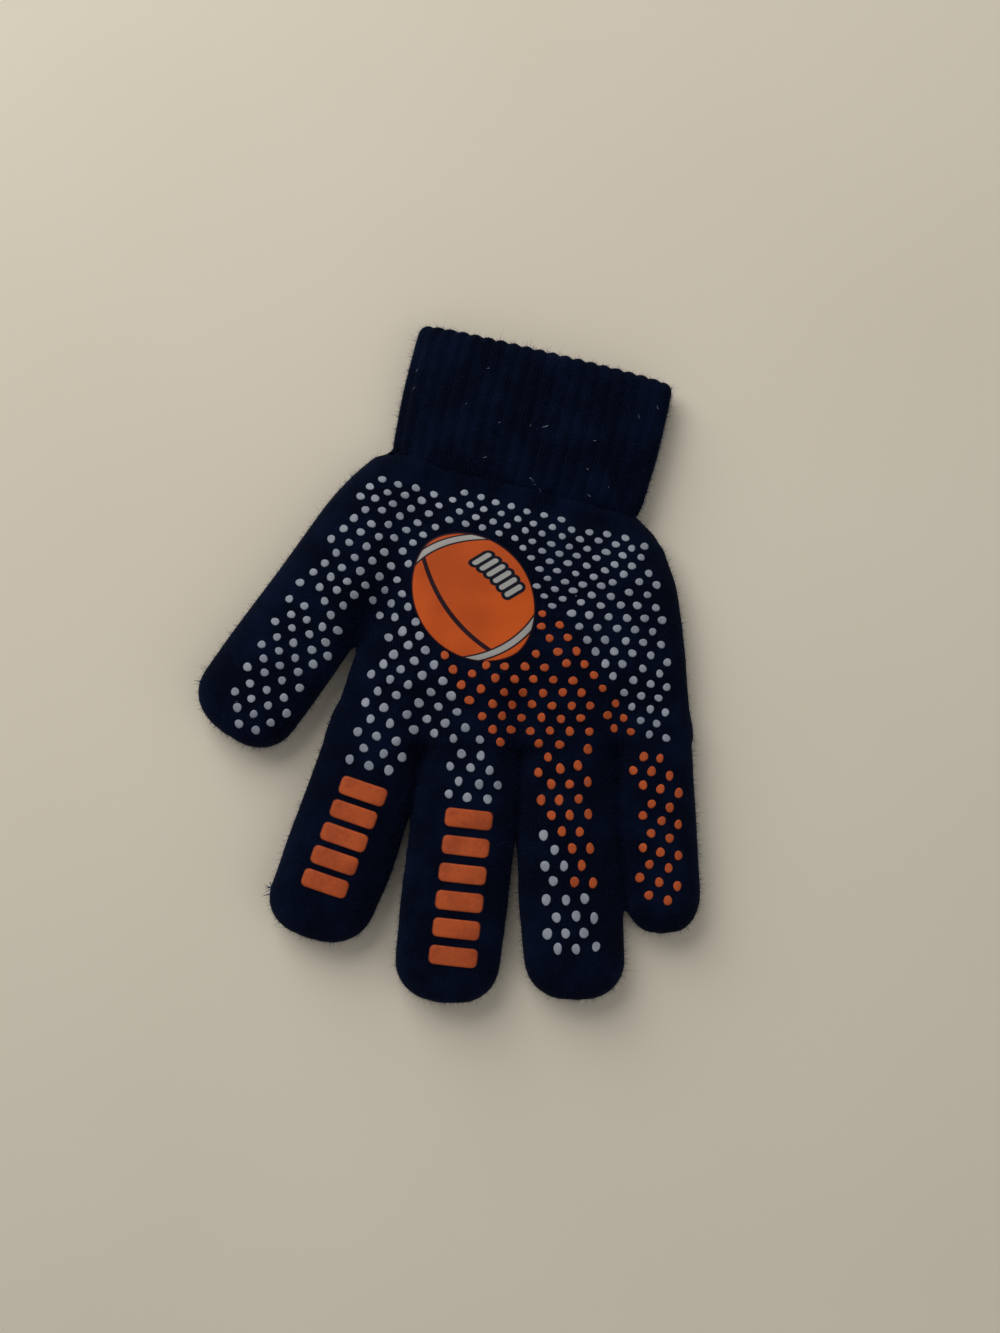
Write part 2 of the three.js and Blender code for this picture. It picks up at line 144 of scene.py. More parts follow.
# %% Finishes
class Finish:
    def __init__(self, name):
        self.material = bpy.data.materials.new(name)
        self.material.use_nodes = True
        self.tree = self.material.node_tree
        self.shader = self.tree.nodes["Principled BSDF"]

    def feed(self, socket, value):
        if isinstance(value, Number):
            value = value.socket
        if isinstance(value, bpy.types.NodeSocket):
            self.tree.links.new(value, socket)
        else:
            socket.default_value = value

    def node(self, kind, settings=None, sockets=None):
        made = self.tree.nodes.new(kind)
        for key, value in (settings or {}).items():
            setattr(made, key, value)
        for key, value in (sockets or {}).items():
            self.feed(made.inputs[key], value)
        return made

    def maths(self, operation, *values):
        made = self.node("ShaderNodeMath", {"operation": operation})
        for socket, value in zip(made.inputs, values):
            self.feed(socket, value)
        return Number(self, made.outputs[0])

    def step(self, value, low, high):
        """0 below low and 1 above high, with a smooth rise between."""
        settings = {"interpolation_type": "SMOOTHSTEP"}
        made = self.node("ShaderNodeMapRange", settings, {"Value": value, "From Min": low, "From Max": high})
        return Number(self, made.outputs[0])

    def mix(self, share, first, second):
        """A colour between two. A Mix node keeps its colour sockets at places 6 and 7."""
        made = self.node("ShaderNodeMix", {"data_type": "RGBA"}, {0: share, 6: first, 7: second})
        return made.outputs[2]

    def noise(self, scale, detail=2, roughness=0.5):
        place = self.node("ShaderNodeTexCoord").outputs["Object"]
        sockets = {"Vector": place, "Scale": scale, "Detail": detail, "Roughness": roughness}
        return Number(self, self.node("ShaderNodeTexNoise", sockets=sockets).outputs[0])

    def mapped(self, name):
        """The two coordinates that a piece's mesh holds in one attribute."""
        vector = self.node("ShaderNodeAttribute", {"attribute_name": name}).outputs["Vector"]
        split = self.node("ShaderNodeSeparateXYZ", sockets={"Vector": vector})
        return Number(self, split.outputs[0]), Number(self, split.outputs[1])

    def edge(self):
        """Nought in the middle of a printed pad and one at its rim."""
        return Number(self, self.node("ShaderNodeAttribute", {"attribute_name": "edge"}).outputs["Fac"])

    def bump(self, height, distance, strength=1.0):
        sockets = {"Height": height, "Distance": distance * MM, "Strength": strength}
        self.feed(self.shader.inputs["Normal"], self.node("ShaderNodeBump", sockets=sockets).outputs[0])

    def set(self, **sockets):
        for key, value in sockets.items():
            self.feed(self.shader.inputs[key.replace("_", " ")], value)


# %% Screen colours
def srgb(red, green, blue):
    """A colour as it looks on a screen, from 0 to 255, as the linear light that a shader counts in."""
    shares = [value / 255 for value in (red, green, blue)]
    linear = [s / 12.92 if s <= 0.04045 else ((s + 0.055) / 1.055) ** 2.4 for s in shares]
    return (*linear, 1)


# %% [markdown]
# The yarn is a navy acrylic, knitted in rows of small V-shaped stitches and brushed by wear, so it has
# three scales. Stitches are about a millimetre wide: too fine for a mesh, so the shader draws their relief
# from two coordinates that each mesh carries, wale across the knitting and course along it. The same relief
# sets painted shade: the hollows between stitches are darker and the crests lighter. A noise of half a
# millimetre stands for loose fibres, and a slow one for stretched and rubbed places.

# %% Knit finish
WALE_PITCH = 1.5
COURSE_PITCH = 1.15
STITCH_DEPTH = 0.28


def stitch_height(finish, wale, course, wale_pitch, course_pitch):
    side = abs(finish.maths("FRACT", wale / wale_pitch) - 0.5) * 2
    leg = finish.maths("SINE", side * math.pi) ** 0.6
    slant = finish.maths("COSINE", (course / course_pitch + side * 0.9) * (2 * math.pi))
    return leg * (slant * 0.28 + 0.72)


def knit_finish(name, wale_pitch, deep, lit_crest, rubbed):
    finish = Finish(name)
    wale, course = finish.mapped("knit")
    loose = finish.noise(1900, 3, 0.65)
    slow = finish.noise(85, 3, 0.6)
    stitch = stitch_height(finish, wale + (loose - 0.5) * 0.5, course, wale_pitch, COURSE_PITCH)
    relief = stitch * 0.7 + loose * 0.5
    # Painted shade: low relief, the hollows between stitches, takes the dark colour, and high relief the
    # lighter one
    crest_light = finish.step(relief, 0.25, 1.0)
    colour = finish.mix(crest_light, srgb(*deep), srgb(*lit_crest))
    worn = finish.step(slow + loose * 0.25, 0.5, 0.85)
    colour = finish.mix(worn * 0.6, colour, srgb(*rubbed))
    finish.set(Base_Color=colour, Roughness=0.86 + slow * 0.12)
    finish.set(Specular_IOR_Level=0.05, Sheen_Weight=0.035, Sheen_Roughness=0.5)
    finish.set(Sheen_Tint=srgb(110, 140, 195))
    finish.bump(relief, STITCH_DEPTH, 0.8)
    return finish.material


# Painted shade and light: the first colour is for the stitch hollows and the second for the lit crests; the
# third is real wear
knit_navy = knit_finish("knit_navy", WALE_PITCH, (0, 2, 11), (3, 10, 29), (10, 20, 45))
print("knit finish nodes:", len(knit_navy.node_tree.nodes))

# %% [markdown]
# The grip prints are soft rubber pressed through a screen: matt, a little uneven and with the yarn's relief
# showing through. Pale ones have picked up grey, and the orange ones have rubbed paler on top. One function
# makes both, from two colours and a noise.

# %% Print finish
def print_finish(name, clean, soiled, rim, roughness):
    finish = Finish(name)
    grain = finish.noise(900, 3, 0.6)
    slow = finish.noise(140, 2, 0.5)
    soil = finish.step(slow * 0.6 + grain * 0.4, 0.38, 0.66)
    colour = finish.mix(soil, srgb(*clean), srgb(*soiled))
    colour = finish.mix(finish.step(finish.edge(), 0.93, 1.0), colour, srgb(*rim))
    finish.set(Base_Color=colour, Roughness=roughness + grain * 0.2)
    finish.set(Specular_IOR_Level=0.2)
    finish.bump(grain, 0.12, 0.6)
    return finish.material


pale_print = print_finish("pale_print", (150, 156, 166), (126, 132, 144), (60, 68, 88), 0.6)
orange_print = print_finish("orange_print", (182, 82, 38), (158, 68, 32), (64, 26, 26), 0.6)

# %% [markdown]
# Before any knitting, the glove's sizes. They are the solids' own driving sizes, in millimetres, so that
# the fine surface lies where the plain solid lies. A digit is a finger or the thumb: a tube with a root, a
# tilt and a length. The palm is a tube too, from its seam with the cuff to the knuckles.

# %% Glove sizes
KNIT_WALL = 2
KNUCKLE = np.array([14.8, -18.6])
PALM_LENGTH = 61
WRIST_SHIFT = 1.3
WRIST_WIDTH = 62.4
PALM_THICKNESS = 12.6
PALM_END_ROUND = 3
WEB_GAP = 1
CUFF_LENGTH = 33.2
CUFF_WIDTH = 64.4
CUFF_THICKNESS = 12
CUFF_TILT = 13.6
CUFF_WALL = 2.4
TIP_ROUND = 11
TIP_SQUARENESS = 2.4
MIDDLE_TILT = 6.45
THUMB_TILT = 35.6
CROTCH_SHARE = 0.595
FINGER_STUB = {"length": 10, "round": 8}
THUMB_STUB = {"length": 47, "round": 30}
SECTION_POWER = 2.5
PRESSED = 0.24
THINNING = 0.6
TIP_LIFT = 0.36
WIDEST_SHARE = 0.75

FINGER_SIZES = ("name", "length", "root", "width", "thickness", "clear", "bow")
FINGERS = [
    dict(zip(FINGER_SIZES, sizes))
    for sizes in (
        ("index", 50.5, 22.6, 26.4, 11.2, 0, 1.2),
        ("middle", 63.8, 23.1, 25.8, 11.6, 5.2, 0),
        ("ring", 62.8, 21.2, 25, 11.2, 4.1, -0.8),
        ("little", 47, 18.2, 18.4, 10.6, 0.45, 0),
    )
]
THUMB = {"name": "thumb", "length": 39.6, "root": 25.2, "width": 26, "thickness": 11.4, "bow": 0}

# %% [markdown]
# The widths and heights along each tube are short tables of shares. A smooth curve is laid through every
# column, so that a tube has no kinks between its rows.

# %% Shape tables
PALM_ROWS = {
    "along": [-0.05, 0, 0.07, 0.15, 0.33, 0.56, 0.77, 0.94, 1],
    "grow": [-0.04, 0, 0.146, 0.28, 0.468, 0.582, 0.79, 0.94, 1],
    "lean": [0, 0, 0.0175, 0.026, 0.03, 0.034, 0.0165, 0.0048, 0],
    "turn": [1, 1, 0.9, 0.74, 0.44, 0.2, 0, 0, 0],
    "height": [0.86, 0.87, 0.9, 0.94, 1, 1, 0.98, 0.94, 0.92],
}
FINGER_ROWS = {
    "along": [-0.3, 0, 0.25, 0.5, 0.75, 1],
    "swell": [0, 0.1, 0.5, 0.85, 1, 0.8],
    "height": [1.03, 1.02, 1, 1, 1, 0.97],
}
CUFF_ROWS = {
    "along": [0, 0.12, 0.5, 0.93, 1],
    "width": [0.965, 0.98, 1, 0.995, 0.975],
    "height": [0.93, 0.97, 1, 0.95, 0.9],
}


def column_at(rows, column, along):
    """One column of a table of rows, on a smooth curve through them."""
    steps = np.asarray(rows["along"], float)
    values = np.asarray(rows[column], float)
    last = len(steps) - 1
    i = np.clip(np.searchsorted(steps, along, side="right") - 1, 0, last - 1)
    share = np.clip((along - steps[i]) / (steps[i + 1] - steps[i]), 0, 1)
    a, b, c, d = (values[np.clip(i + k, 0, last)] for k in (-1, 0, 1, 2))
    bend = (2 * a - 5 * b + 4 * c - d) * share**2 + (3 * b - a - 3 * c + d) * share**3
    return b + ((c - a) * share + bend) / 2


def blend(first, second, share):
    return first + (second - first) * share


def smooth_step(value, low, high):
    share = np.clip((value - low) / (high - low), 0, 1)
    return share * share * (3 - 2 * share)


# %% [markdown]
# The fingers stand side by side on the knuckle line, and each is tilted just enough to clear its neighbour.
# The thumb leaves the palm's edge at the crotch. Each digit gets a Tilted frame: across and forward
# directions on the table, which turn a place on the table into a distance along the tube and one across it.

# %% Set out the digits
class Tilted:
    def __init__(self, origin, tilt):
        self.origin = np.asarray(origin, float)
        self.tilt = tilt
        self.across = np.array([math.cos(math.radians(tilt)), -math.sin(math.radians(tilt))])
        self.forward = np.array([-math.sin(math.radians(tilt)), -math.cos(math.radians(tilt))])

    def local(self, x, y):
        dx, dy = x - self.origin[0], y - self.origin[1]
        across = dx * self.across[0] + dy * self.across[1]
        return across, dx * self.forward[0] + dy * self.forward[1]

    def place(self, across, along):
        across, along = np.asarray(across, float), np.asarray(along, float)
        x = self.origin[0] + across * self.across[0] + along * self.forward[0]
        return x, self.origin[1] + across * self.across[1] + along * self.forward[1]


# %% Tilts of the digits
knuckle_width = sum(finger["root"] + WEB_GAP for finger in FINGERS) - WEB_GAP


def palm_section(along):
    return {
        "x": KNUCKLE[0] + WRIST_SHIFT * (1 - along) + column_at(PALM_ROWS, "lean", along) * knuckle_width,
        "y": KNUCKLE[1] + PALM_LENGTH * (1 - along),
        "tilt": CUFF_TILT * column_at(PALM_ROWS, "turn", along),
        "width": blend(WRIST_WIDTH, knuckle_width, column_at(PALM_ROWS, "grow", along)),
        "height": PALM_THICKNESS * column_at(PALM_ROWS, "height", along),
    }


def bow_at(digit, along):
    """How far a digit's middle line lies aside of its frame's own line."""
    return digit["bow"] * np.sin(math.pi * np.clip(along / digit["length"], 0, 1))


def set_out_digits():
    left, before = KNUCKLE[0] - knuckle_width / 2, None
    for finger in FINGERS:
        finger["x"] = left + finger["root"] / 2
        left += finger["root"] + WEB_GAP
        if before:
            swelling = (finger["width"] - finger["root"] + before["width"] - before["root"]) / 2
            reach = WIDEST_SHARE * min(finger["length"], before["length"])
            bending = bow_at(before, reach) - bow_at(finger, reach)
            apart = swelling + bending + finger["clear"] - WEB_GAP
            finger["spread"] = math.degrees(math.atan(apart / reach))
        before = finger
    index, middle, ring, little = FINGERS
    middle["tilt"] = MIDDLE_TILT
    index["tilt"] = MIDDLE_TILT + middle["spread"]
    ring["tilt"] = MIDDLE_TILT - ring["spread"]
    little["tilt"] = ring["tilt"] - little["spread"]
    for finger in FINGERS:
        finger["stub"] = FINGER_STUB
        finger["frame"] = Tilted((finger["x"], KNUCKLE[1]), finger["tilt"])
    section = palm_section(CROTCH_SHARE)
    edge = Tilted((section["x"], section["y"]), section["tilt"])
    THUMB["stub"] = THUMB_STUB
    THUMB["frame"] = Tilted(edge.place(-section["width"] / 2, 0), THUMB_TILT)
    THUMB["frame"] = Tilted(THUMB["frame"].place(-THUMB["root"] / 2, 0), THUMB_TILT)


set_out_digits()
DIGITS = [*FINGERS, THUMB]
cuff_frame = Tilted((KNUCKLE[0] + WRIST_SHIFT, KNUCKLE[1] + PALM_LENGTH), CUFF_TILT)
print("digit tilts:", [round(digit["tilt"] if "tilt" in digit else THUMB_TILT, 1) for digit in DIGITS])

# %% [markdown]
# The knit of the hand is one continuous skin over palm, thumb and fingers. Lofted tubes would have to be
# stitched at every crotch, and a remesh of joined tubes loses the wall inside. So the skin is made as a
# distance field: for every point of a fine grid, how far it is outside or inside the glove. Fields are easy
# to join softly, to hollow out and to dent, and Blender's volume library turns the place where the field is
# zero into a mesh of even quads.

# %% Distance to a soft tube
def tube_distance(across, z, half_width, height, closing, inset):
    """How far a point is outside a section: a soft oval pressed flat underneath."""
    wide = np.maximum((half_width - inset) * closing, 0.2)
    full = height - 2 * inset
    high = full * closing**THINNING
    base = inset + (full - high) * TIP_LIFT
    tall = np.maximum(high * (1 + PRESSED) / 2, 0.2)
    u = np.abs(across) / wide
    v = np.abs(z - base - high * (1 - PRESSED) / 2) / tall
    reach = np.maximum((u**SECTION_POWER + v**SECTION_POWER) ** (1 / SECTION_POWER), 0.01)
    slope = np.hypot((u / reach) ** (SECTION_POWER - 1) / wide, (v / reach) ** (SECTION_POWER - 1) / tall)
    distance = np.maximum((reach - 1) / slope, -tall)
    return np.maximum(distance, base - z)


# %% Distance to a digit
def digit_field(digit, x, y, z, inset):
    across, along = digit["frame"].local(x, y)
    length, stub = digit["length"], digit["stub"]
    tip_start = length - TIP_ROUND
    share = along / tip_start
    width = blend(digit["root"], digit["width"], column_at(FINGER_ROWS, "swell", share))
    height = digit["thickness"] * column_at(FINGER_ROWS, "height", share)
    reach = np.clip((along - tip_start) / (TIP_ROUND - inset), 0, 0.999)
    closing = (1 - reach**TIP_SQUARENESS) ** (1 / TIP_SQUARENESS)
    rounding = np.clip((stub["round"] - stub["length"] - along) / stub["round"], 0, 0.98)
    closing = closing * np.sqrt(1 - rounding**2)
    distance = tube_distance(across - bow_at(digit, along), z, width / 2, height, closing, inset)
    return np.maximum(distance, np.maximum(along - length + inset, -stub["length"] - along))


# %% Distance to the palm
def palm_place(x, y):
    """The palm's sections turn along it, so each point looks for its own section in a few steps."""
    along = (KNUCKLE[1] + PALM_LENGTH - y) / PALM_LENGTH
    for _ in range(4):
        section = palm_section(along)
        tilt = np.radians(section["tilt"])
        miss = (x - section["x"]) * np.sin(tilt) + (y - section["y"]) * np.cos(tilt)
        along = along - miss / PALM_LENGTH
    section = palm_section(np.clip(along, PALM_ROWS["along"][0], 1))
    tilt = np.radians(section["tilt"])
    across = (x - section["x"]) * np.cos(tilt) - (y - section["y"]) * np.sin(tilt)
    return across, along, section


def palm_field(x, y, z, inset):
    across, along, section = palm_place(x, y)
    past = (along - 1) * PALM_LENGTH
    rounding = np.clip(past / (PALM_END_ROUND - inset / 2), 0, 0.98)
    closing = np.sqrt(1 - rounding**2)
    distance = tube_distance(across, z, section["width"] / 2, section["height"], closing, inset)
    return np.maximum(distance, past - PALM_END_ROUND + inset)


# %% [markdown]
# Dents and mounds are strokes on the table: a line, how deep the knit sinks along it, and how wide. The
# deep ones are the solid's own: the crotches, the gather at the wrist, the mound of the thumb. The shallow
# ones are the creases that a washed glove shows when it lies empty.

# %% Dents and creases
def stroke(place, start, end, depth, width):
    return {"start": place(*start), "end": place(*end), "depth": depth, "width": width}


def glove_place(across, back):
    return KNUCKLE[0] + across, KNUCKLE[1] + back


def digit_place(digit):
    return lambda across, back: digit["frame"].place(across, -back)


def cuff_place(across, back):
    return cuff_frame.place(across, -back)


crotches = [f["x"] - KNUCKLE[0] - (f["root"] + WEB_GAP) / 2 for f in FINGERS[1:]]
dents = [
    *[stroke(glove_place, (x, -3), (x, 9), 2.4, 3.2) for x in crotches],
    stroke(digit_place(THUMB), (THUMB["root"] / 2, -4), (THUMB["root"] / 2, 8), 1.8, 3.4),
    stroke(digit_place(THUMB), (0, 26), (0, 8), -0.9, 9),
    stroke(cuff_place, (-0.3 * CUFF_WIDTH, -4), (0.44 * CUFF_WIDTH, -4), 1.0, 4),
    stroke(glove_place, (-0.3 * knuckle_width, 13), (0.3 * knuckle_width, 13), -0.7, 8),
    # Creases: from the thumb's crotch up the palm, beside the ball, and across the fingers
    stroke(digit_place(THUMB), (THUMB["root"] / 2 + 1, 8), (4, 30), 0.7, 4.5),
    stroke(glove_place, (25, 22), (40, 2), 0.35, 5),
    stroke(digit_place(FINGERS[0]), (-9, -22), (9, -26), 0.35, 3),
    stroke(digit_place(FINGERS[1]), (-9, -16), (8, -12), 0.3, 3),
    stroke(digit_place(FINGERS[2]), (-8, -33), (8, -37), 0.35, 3),
    stroke(digit_place(FINGERS[3]), (-6, -20), (6, -18), 0.3, 2.5),
]


# %% How far the knit sinks
def drop_at(x, y, strokes):
    drop = np.zeros_like(x)
    for dent in strokes:
        (x0, y0), (x1, y1) = dent["start"], dent["end"]
        dx, dy = x1 - x0, y1 - y0
        share = np.clip(((x - x0) * dx + (y - y0) * dy) / (dx * dx + dy * dy), 0, 1)
        away = np.hypot(x - x0 - share * dx, y - y0 - share * dy)
        drop += dent["depth"] * np.exp(-((away / dent["width"]) ** 2))
    return drop


# How fast each wave turns along x and along y, where it starts, and how high it is
WAVES = [(0.21, 0.13, 0.3, 0.10), (-0.17, 0.29, 1.7, 0.08), (0.47, -0.36, 4.1, 0.05), (0.08, 0.62, 2.2, 0.05)]


def unevenness(x, y):
    """A slow, gentle waviness of the knit, a tenth or two of a millimetre high."""
    return sum(high * np.sin(a * x + b * y + start) for a, b, start, high in WAVES)


# %% [markdown]
# The field of the whole hand: palm and digits joined softly outside, joined sharply inside and a wall apart.
# At the wrist the skin runs a little way into the cuff, drawn in by half its wall, so that no gap shows.

# %% Field of the hand
VOXEL = 0.8
UNDER_CUFF = 3
DRAWN_IN = 0.9
WEB_SOFTNESS = 2.2
# Dents leave the underside flat: they sink nothing below the first height and all above the second
SINK_FROM, SINK_FULLY = 2, 9

hand_nodes = ["palm", "thumb", *[f["name"] + "_finger" for f in FINGERS]]
corners = np.array([[tuple(corner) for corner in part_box(node)] for node in hand_nodes]) / MM
low = corners.min(axis=(0, 1)) - 3 * VOXEL
high = corners.max(axis=(0, 1)) + 3 * VOXEL
counts = np.ceil((high - low) / VOXEL).astype(int)
axes = [low[i] + VOXEL * np.arange(counts[i]) for i in range(3)]
X, Y, Z = np.meshgrid(*axes, indexing="ij")


def soft_union(first, second, softness):
    nearness = np.maximum(softness - np.abs(first - second), 0) / softness
    return np.minimum(first, second) - nearness**2 * softness / 4


def hand_fields():
    drop = drop_at(X[:, :, 0], Y[:, :, 0], dents) + unevenness(X[:, :, 0], Y[:, :, 0])
    upper = smooth_step(Z, SINK_FROM, SINK_FULLY)
    lifted = Z + drop[:, :, None] * upper
    outer = palm_field(X, Y, lifted, 0)
    inner = palm_field(X, Y, lifted, KNIT_WALL)
    for digit in DIGITS:
        outer = soft_union(outer, digit_field(digit, X, Y, lifted, 0), WEB_SOFTNESS)
        inner = np.minimum(inner, digit_field(digit, X, Y, lifted, KNIT_WALL))
    back = -cuff_frame.local(X, Y)[1]
    outer = outer + DRAWN_IN * smooth_step(back, -1, 1)
    return outer, np.maximum(np.maximum(outer, -inner), back - UNDER_CUFF)


outer_field, hand_field = hand_fields()
print("grid:", counts, "inside share:", round(float((hand_field < 0).mean()), 3))

# %% [markdown]
# The library wants a field that grows evenly with distance, so the field is divided by how fast it changes.
# The mesh that comes back is smoothed twice, because quads from a grid keep a faint trace of its steps.

# %% Mesh from a field
def evened(field):
    slope = np.sqrt(sum(part**2 for part in np.gradient(field, VOXEL)))
    return np.clip(field / np.maximum(slope, 0.35), -4, 4)


def skin_of(field):
    grid = openvdb.FloatGrid()
    grid.copyFromArray(np.ascontiguousarray(evened(field), dtype=np.float32))
    points, quads = grid.convertToQuads(isovalue=0.0)
    return points.astype(float) * VOXEL + low, quads.astype(int)


# %% Smoothing
def neighbours_mean(points, quads, values):
    total = np.zeros_like(values)
    count = np.zeros(len(points))
    for a, b in ((0, 1), (1, 2), (2, 3), (3, 0)):
        for one, other in ((quads[:, a], quads[:, b]), (quads[:, b], quads[:, a])):
            np.add.at(total, one, values[other])
            np.add.at(count, one, 1)
    return total / count[:, None]


def smoothed(points, quads, rounds):
    """Smooths, and then pushes back half as far, so that the form doesn't shrink."""
    for _ in range(rounds):
        inward = neighbours_mean(points, quads, points) - points
        points = points + 0.6 * inward
        points = points - 0.5 * (neighbours_mean(points, quads, points) - points)
    return points


def vertex_normals(points, faces):
    ring = points[faces]
    across = np.cross(ring[:, 2] - ring[:, 0], ring[:, 3] - ring[:, 1])
    normals = np.zeros_like(points)
    for corner in range(faces.shape[1]):
        np.add.at(normals, faces[:, corner], across)
    return normals / np.maximum(np.linalg.norm(normals, axis=1, keepdims=True), 1e-9)


# %% Mesh objects
def add_mesh(name, points, faces, finishes):
    """A smooth-shaded mesh object from millimetre points."""
    mesh = bpy.data.meshes.new(name)
    mesh.from_pydata((np.asarray(points) * MM).tolist(), [], [list(map(int, face)) for face in faces])
    mesh.shade_smooth()
    for material in finishes:
        mesh.materials.append(material)
    piece = bpy.data.objects.new(name, mesh)
    bpy.context.scene.collection.objects.link(piece)
    return piece


def map_points(piece, name, coordinates):
    layer = piece.data.attributes.new(name, "FLOAT_VECTOR", "POINT")
    flat = np.zeros((len(coordinates), 3), np.float32)
    flat[:, : coordinates.shape[1]] = coordinates
    layer.data.foreach_set("vector", flat.ravel())


def triangles(piece):
    return sum(len(face.vertices) - 2 for face in piece.data.polygons)


# %% Skin of the hand
hand_points, hand_quads = skin_of(hand_field)
hand_points = smoothed(hand_points, hand_quads, 2)
hand_points[:, 2] = np.maximum(hand_points[:, 2], 0)
hand_normals = vertex_normals(hand_points, hand_quads)
print("hand quads:", len(hand_quads))

# %% [markdown]
# Stitches follow the tube that they belong to: up the palm, then along each finger and the thumb. So every
# vertex gets its wale and course in the palm's frame, turned gradually into the digit's frame near its root.
# On the sides the coordinates go on down the wall, or the stitches there would be stretched into stripes.

# %% Wale and course of the hand
MID_HEIGHT = 4.6
SIDE_DEPTH = 6.5
SIDE_STRETCH = 0.8


def nearest_digit(points):
    """For each point: the digit whose tube it lies on, and its place in that digit's frame."""
    scores = []
    for digit in FINGERS:
        across, along = digit["frame"].local(points[:, 0], points[:, 1])
        scores.append(np.abs(across) / digit["width"] + 10 * np.maximum(along - digit["length"] - 2, 0))
    return np.argmin(scores, axis=0)


def knit_coordinates(points, normals):
    x, y, z = points.T
    wale, course = x.copy(), -y
    turned = np.tile([1.0, 0.0, 0.0, -1.0], (len(points), 1))
    which = nearest_digit(points)
    for i, digit in enumerate(DIGITS):
        across, along = digit["frame"].local(x, y)
        if digit is THUMB:
            near = 1 - smooth_step(across, digit["root"] / 2 - 3, digit["root"] / 2 + 5)
            share = smooth_step(along, -20, 2) * near
        else:
            share = smooth_step(along, -4, 5) * (which == i)
        origin = digit["frame"].origin
        wale = blend(wale, origin[0] + across, share)
        course = blend(course, along - origin[1], share)
        axes_here = np.array([*digit["frame"].across, *digit["frame"].forward])
        turned = blend(turned, axes_here[None, :], share[:, None])
    down = SIDE_STRETCH * (SIDE_DEPTH - np.minimum(np.abs(z - MID_HEIGHT), SIDE_DEPTH))
    wale = wale + down * (normals[:, 0] * turned[:, 0] + normals[:, 1] * turned[:, 1])
    course = course + down * (normals[:, 0] * turned[:, 2] + normals[:, 1] * turned[:, 3])
    return np.column_stack([wale, course])


# %% Hand
knit_hand = add_mesh("knit_hand", hand_points, hand_quads, [knit_navy])
map_points(knit_hand, "knit", knit_coordinates(hand_points, hand_normals))
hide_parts(*hand_nodes)
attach(knit_hand, "root")
print("knit_hand triangles:", triangles(knit_hand))

# %% [markdown]
# The cuff is a ribbed tube, knitted in the same round as the palm. Its ribs are wide enough to catch light
# one by one and to scallop the rim, so they are real relief. A ribbed tube is a regular thing, so it is
# lofted: rings of points, evenly spaced round a soft oval, pushed out where a rib has its crest. The rings
# run up the outside, over the rolled rim and down the inside.

# %% Ribbed ring
RIB_PITCH = 3.5
RIB_DEPTH = 0.42
RIB_POINTS = 12
RIM_SCALLOP = 0.55
ribs = round((2 * CUFF_WIDTH + CUFF_THICKNESS) / RIB_PITCH)


def soft_oval(width, height, inset, sides):
    """Points round a pressed oval, from its left side over the underside, in the plane across the tube."""
    angle = np.linspace(-math.pi, math.pi, sides, endpoint=False) - math.pi / 2
    power = 2 / SECTION_POWER
    up = np.sign(np.sin(angle)) * np.abs(np.sin(angle)) ** power
    out = np.sign(np.cos(angle)) * np.abs(np.cos(angle)) ** power
    full = height - 2 * inset
    rise = full * (1 + PRESSED) * (1 + up) / 2 - PRESSED * full
    return np.column_stack([out * (width / 2 - inset), inset + np.maximum(rise, 0)])


def evenly_spaced(loop, count):
    closed = np.vstack([loop, loop[:1]])
    lengths = np.linalg.norm(np.diff(closed, axis=0), axis=1)
    passed = np.concatenate([[0], np.cumsum(lengths)])
    target = np.arange(count) * passed[-1] / count
    return np.column_stack([np.interp(target, passed, closed[:, i]) for i in range(2)])


def outward_of(loop):
    tangent = np.roll(loop, -1, axis=0) - np.roll(loop, 1, axis=0)
    normal = np.column_stack([tangent[:, 1], -tangent[:, 0]])
    return normal / np.linalg.norm(normal, axis=1, keepdims=True)


# %% Ribs
rib_phase = np.arange(ribs * RIB_POINTS) / RIB_POINTS
rib_crest = (0.5 - 0.5 * np.cos(2 * math.pi * rib_phase)) ** 0.7


def ribbed_ring(along, inset, depth, scallop):
    share = np.clip(along / CUFF_LENGTH, 0, 1)
    width = CUFF_WIDTH * column_at(CUFF_ROWS, "width", share)
    height = CUFF_THICKNESS * column_at(CUFF_ROWS, "height", share)
    loop = evenly_spaced(soft_oval(width, height, inset, 720), len(rib_phase))
    loop = loop + outward_of(loop) * (rib_crest * depth)[:, None]
    back = along + rib_crest * scallop
    x, y = cuff_frame.place(loop[:, 0], -back)
    return np.column_stack([x, y, np.maximum(loop[:, 1], 0)])


# %% [markdown]
# The rim is a half round: the wall turns over from the outside to the inside in eight steps. Because ribs
# meet where the tube closes, the ring's coordinates are kept per face corner, in a UV map: there the last
# rib can end at forty-five while the first begins at nought.

# %% Cuff
CUFF_STEP = 0.6
START_ROUND = 2.2
RIM_STEPS = 8
INSIDE_RIB_DEPTH = 0.25


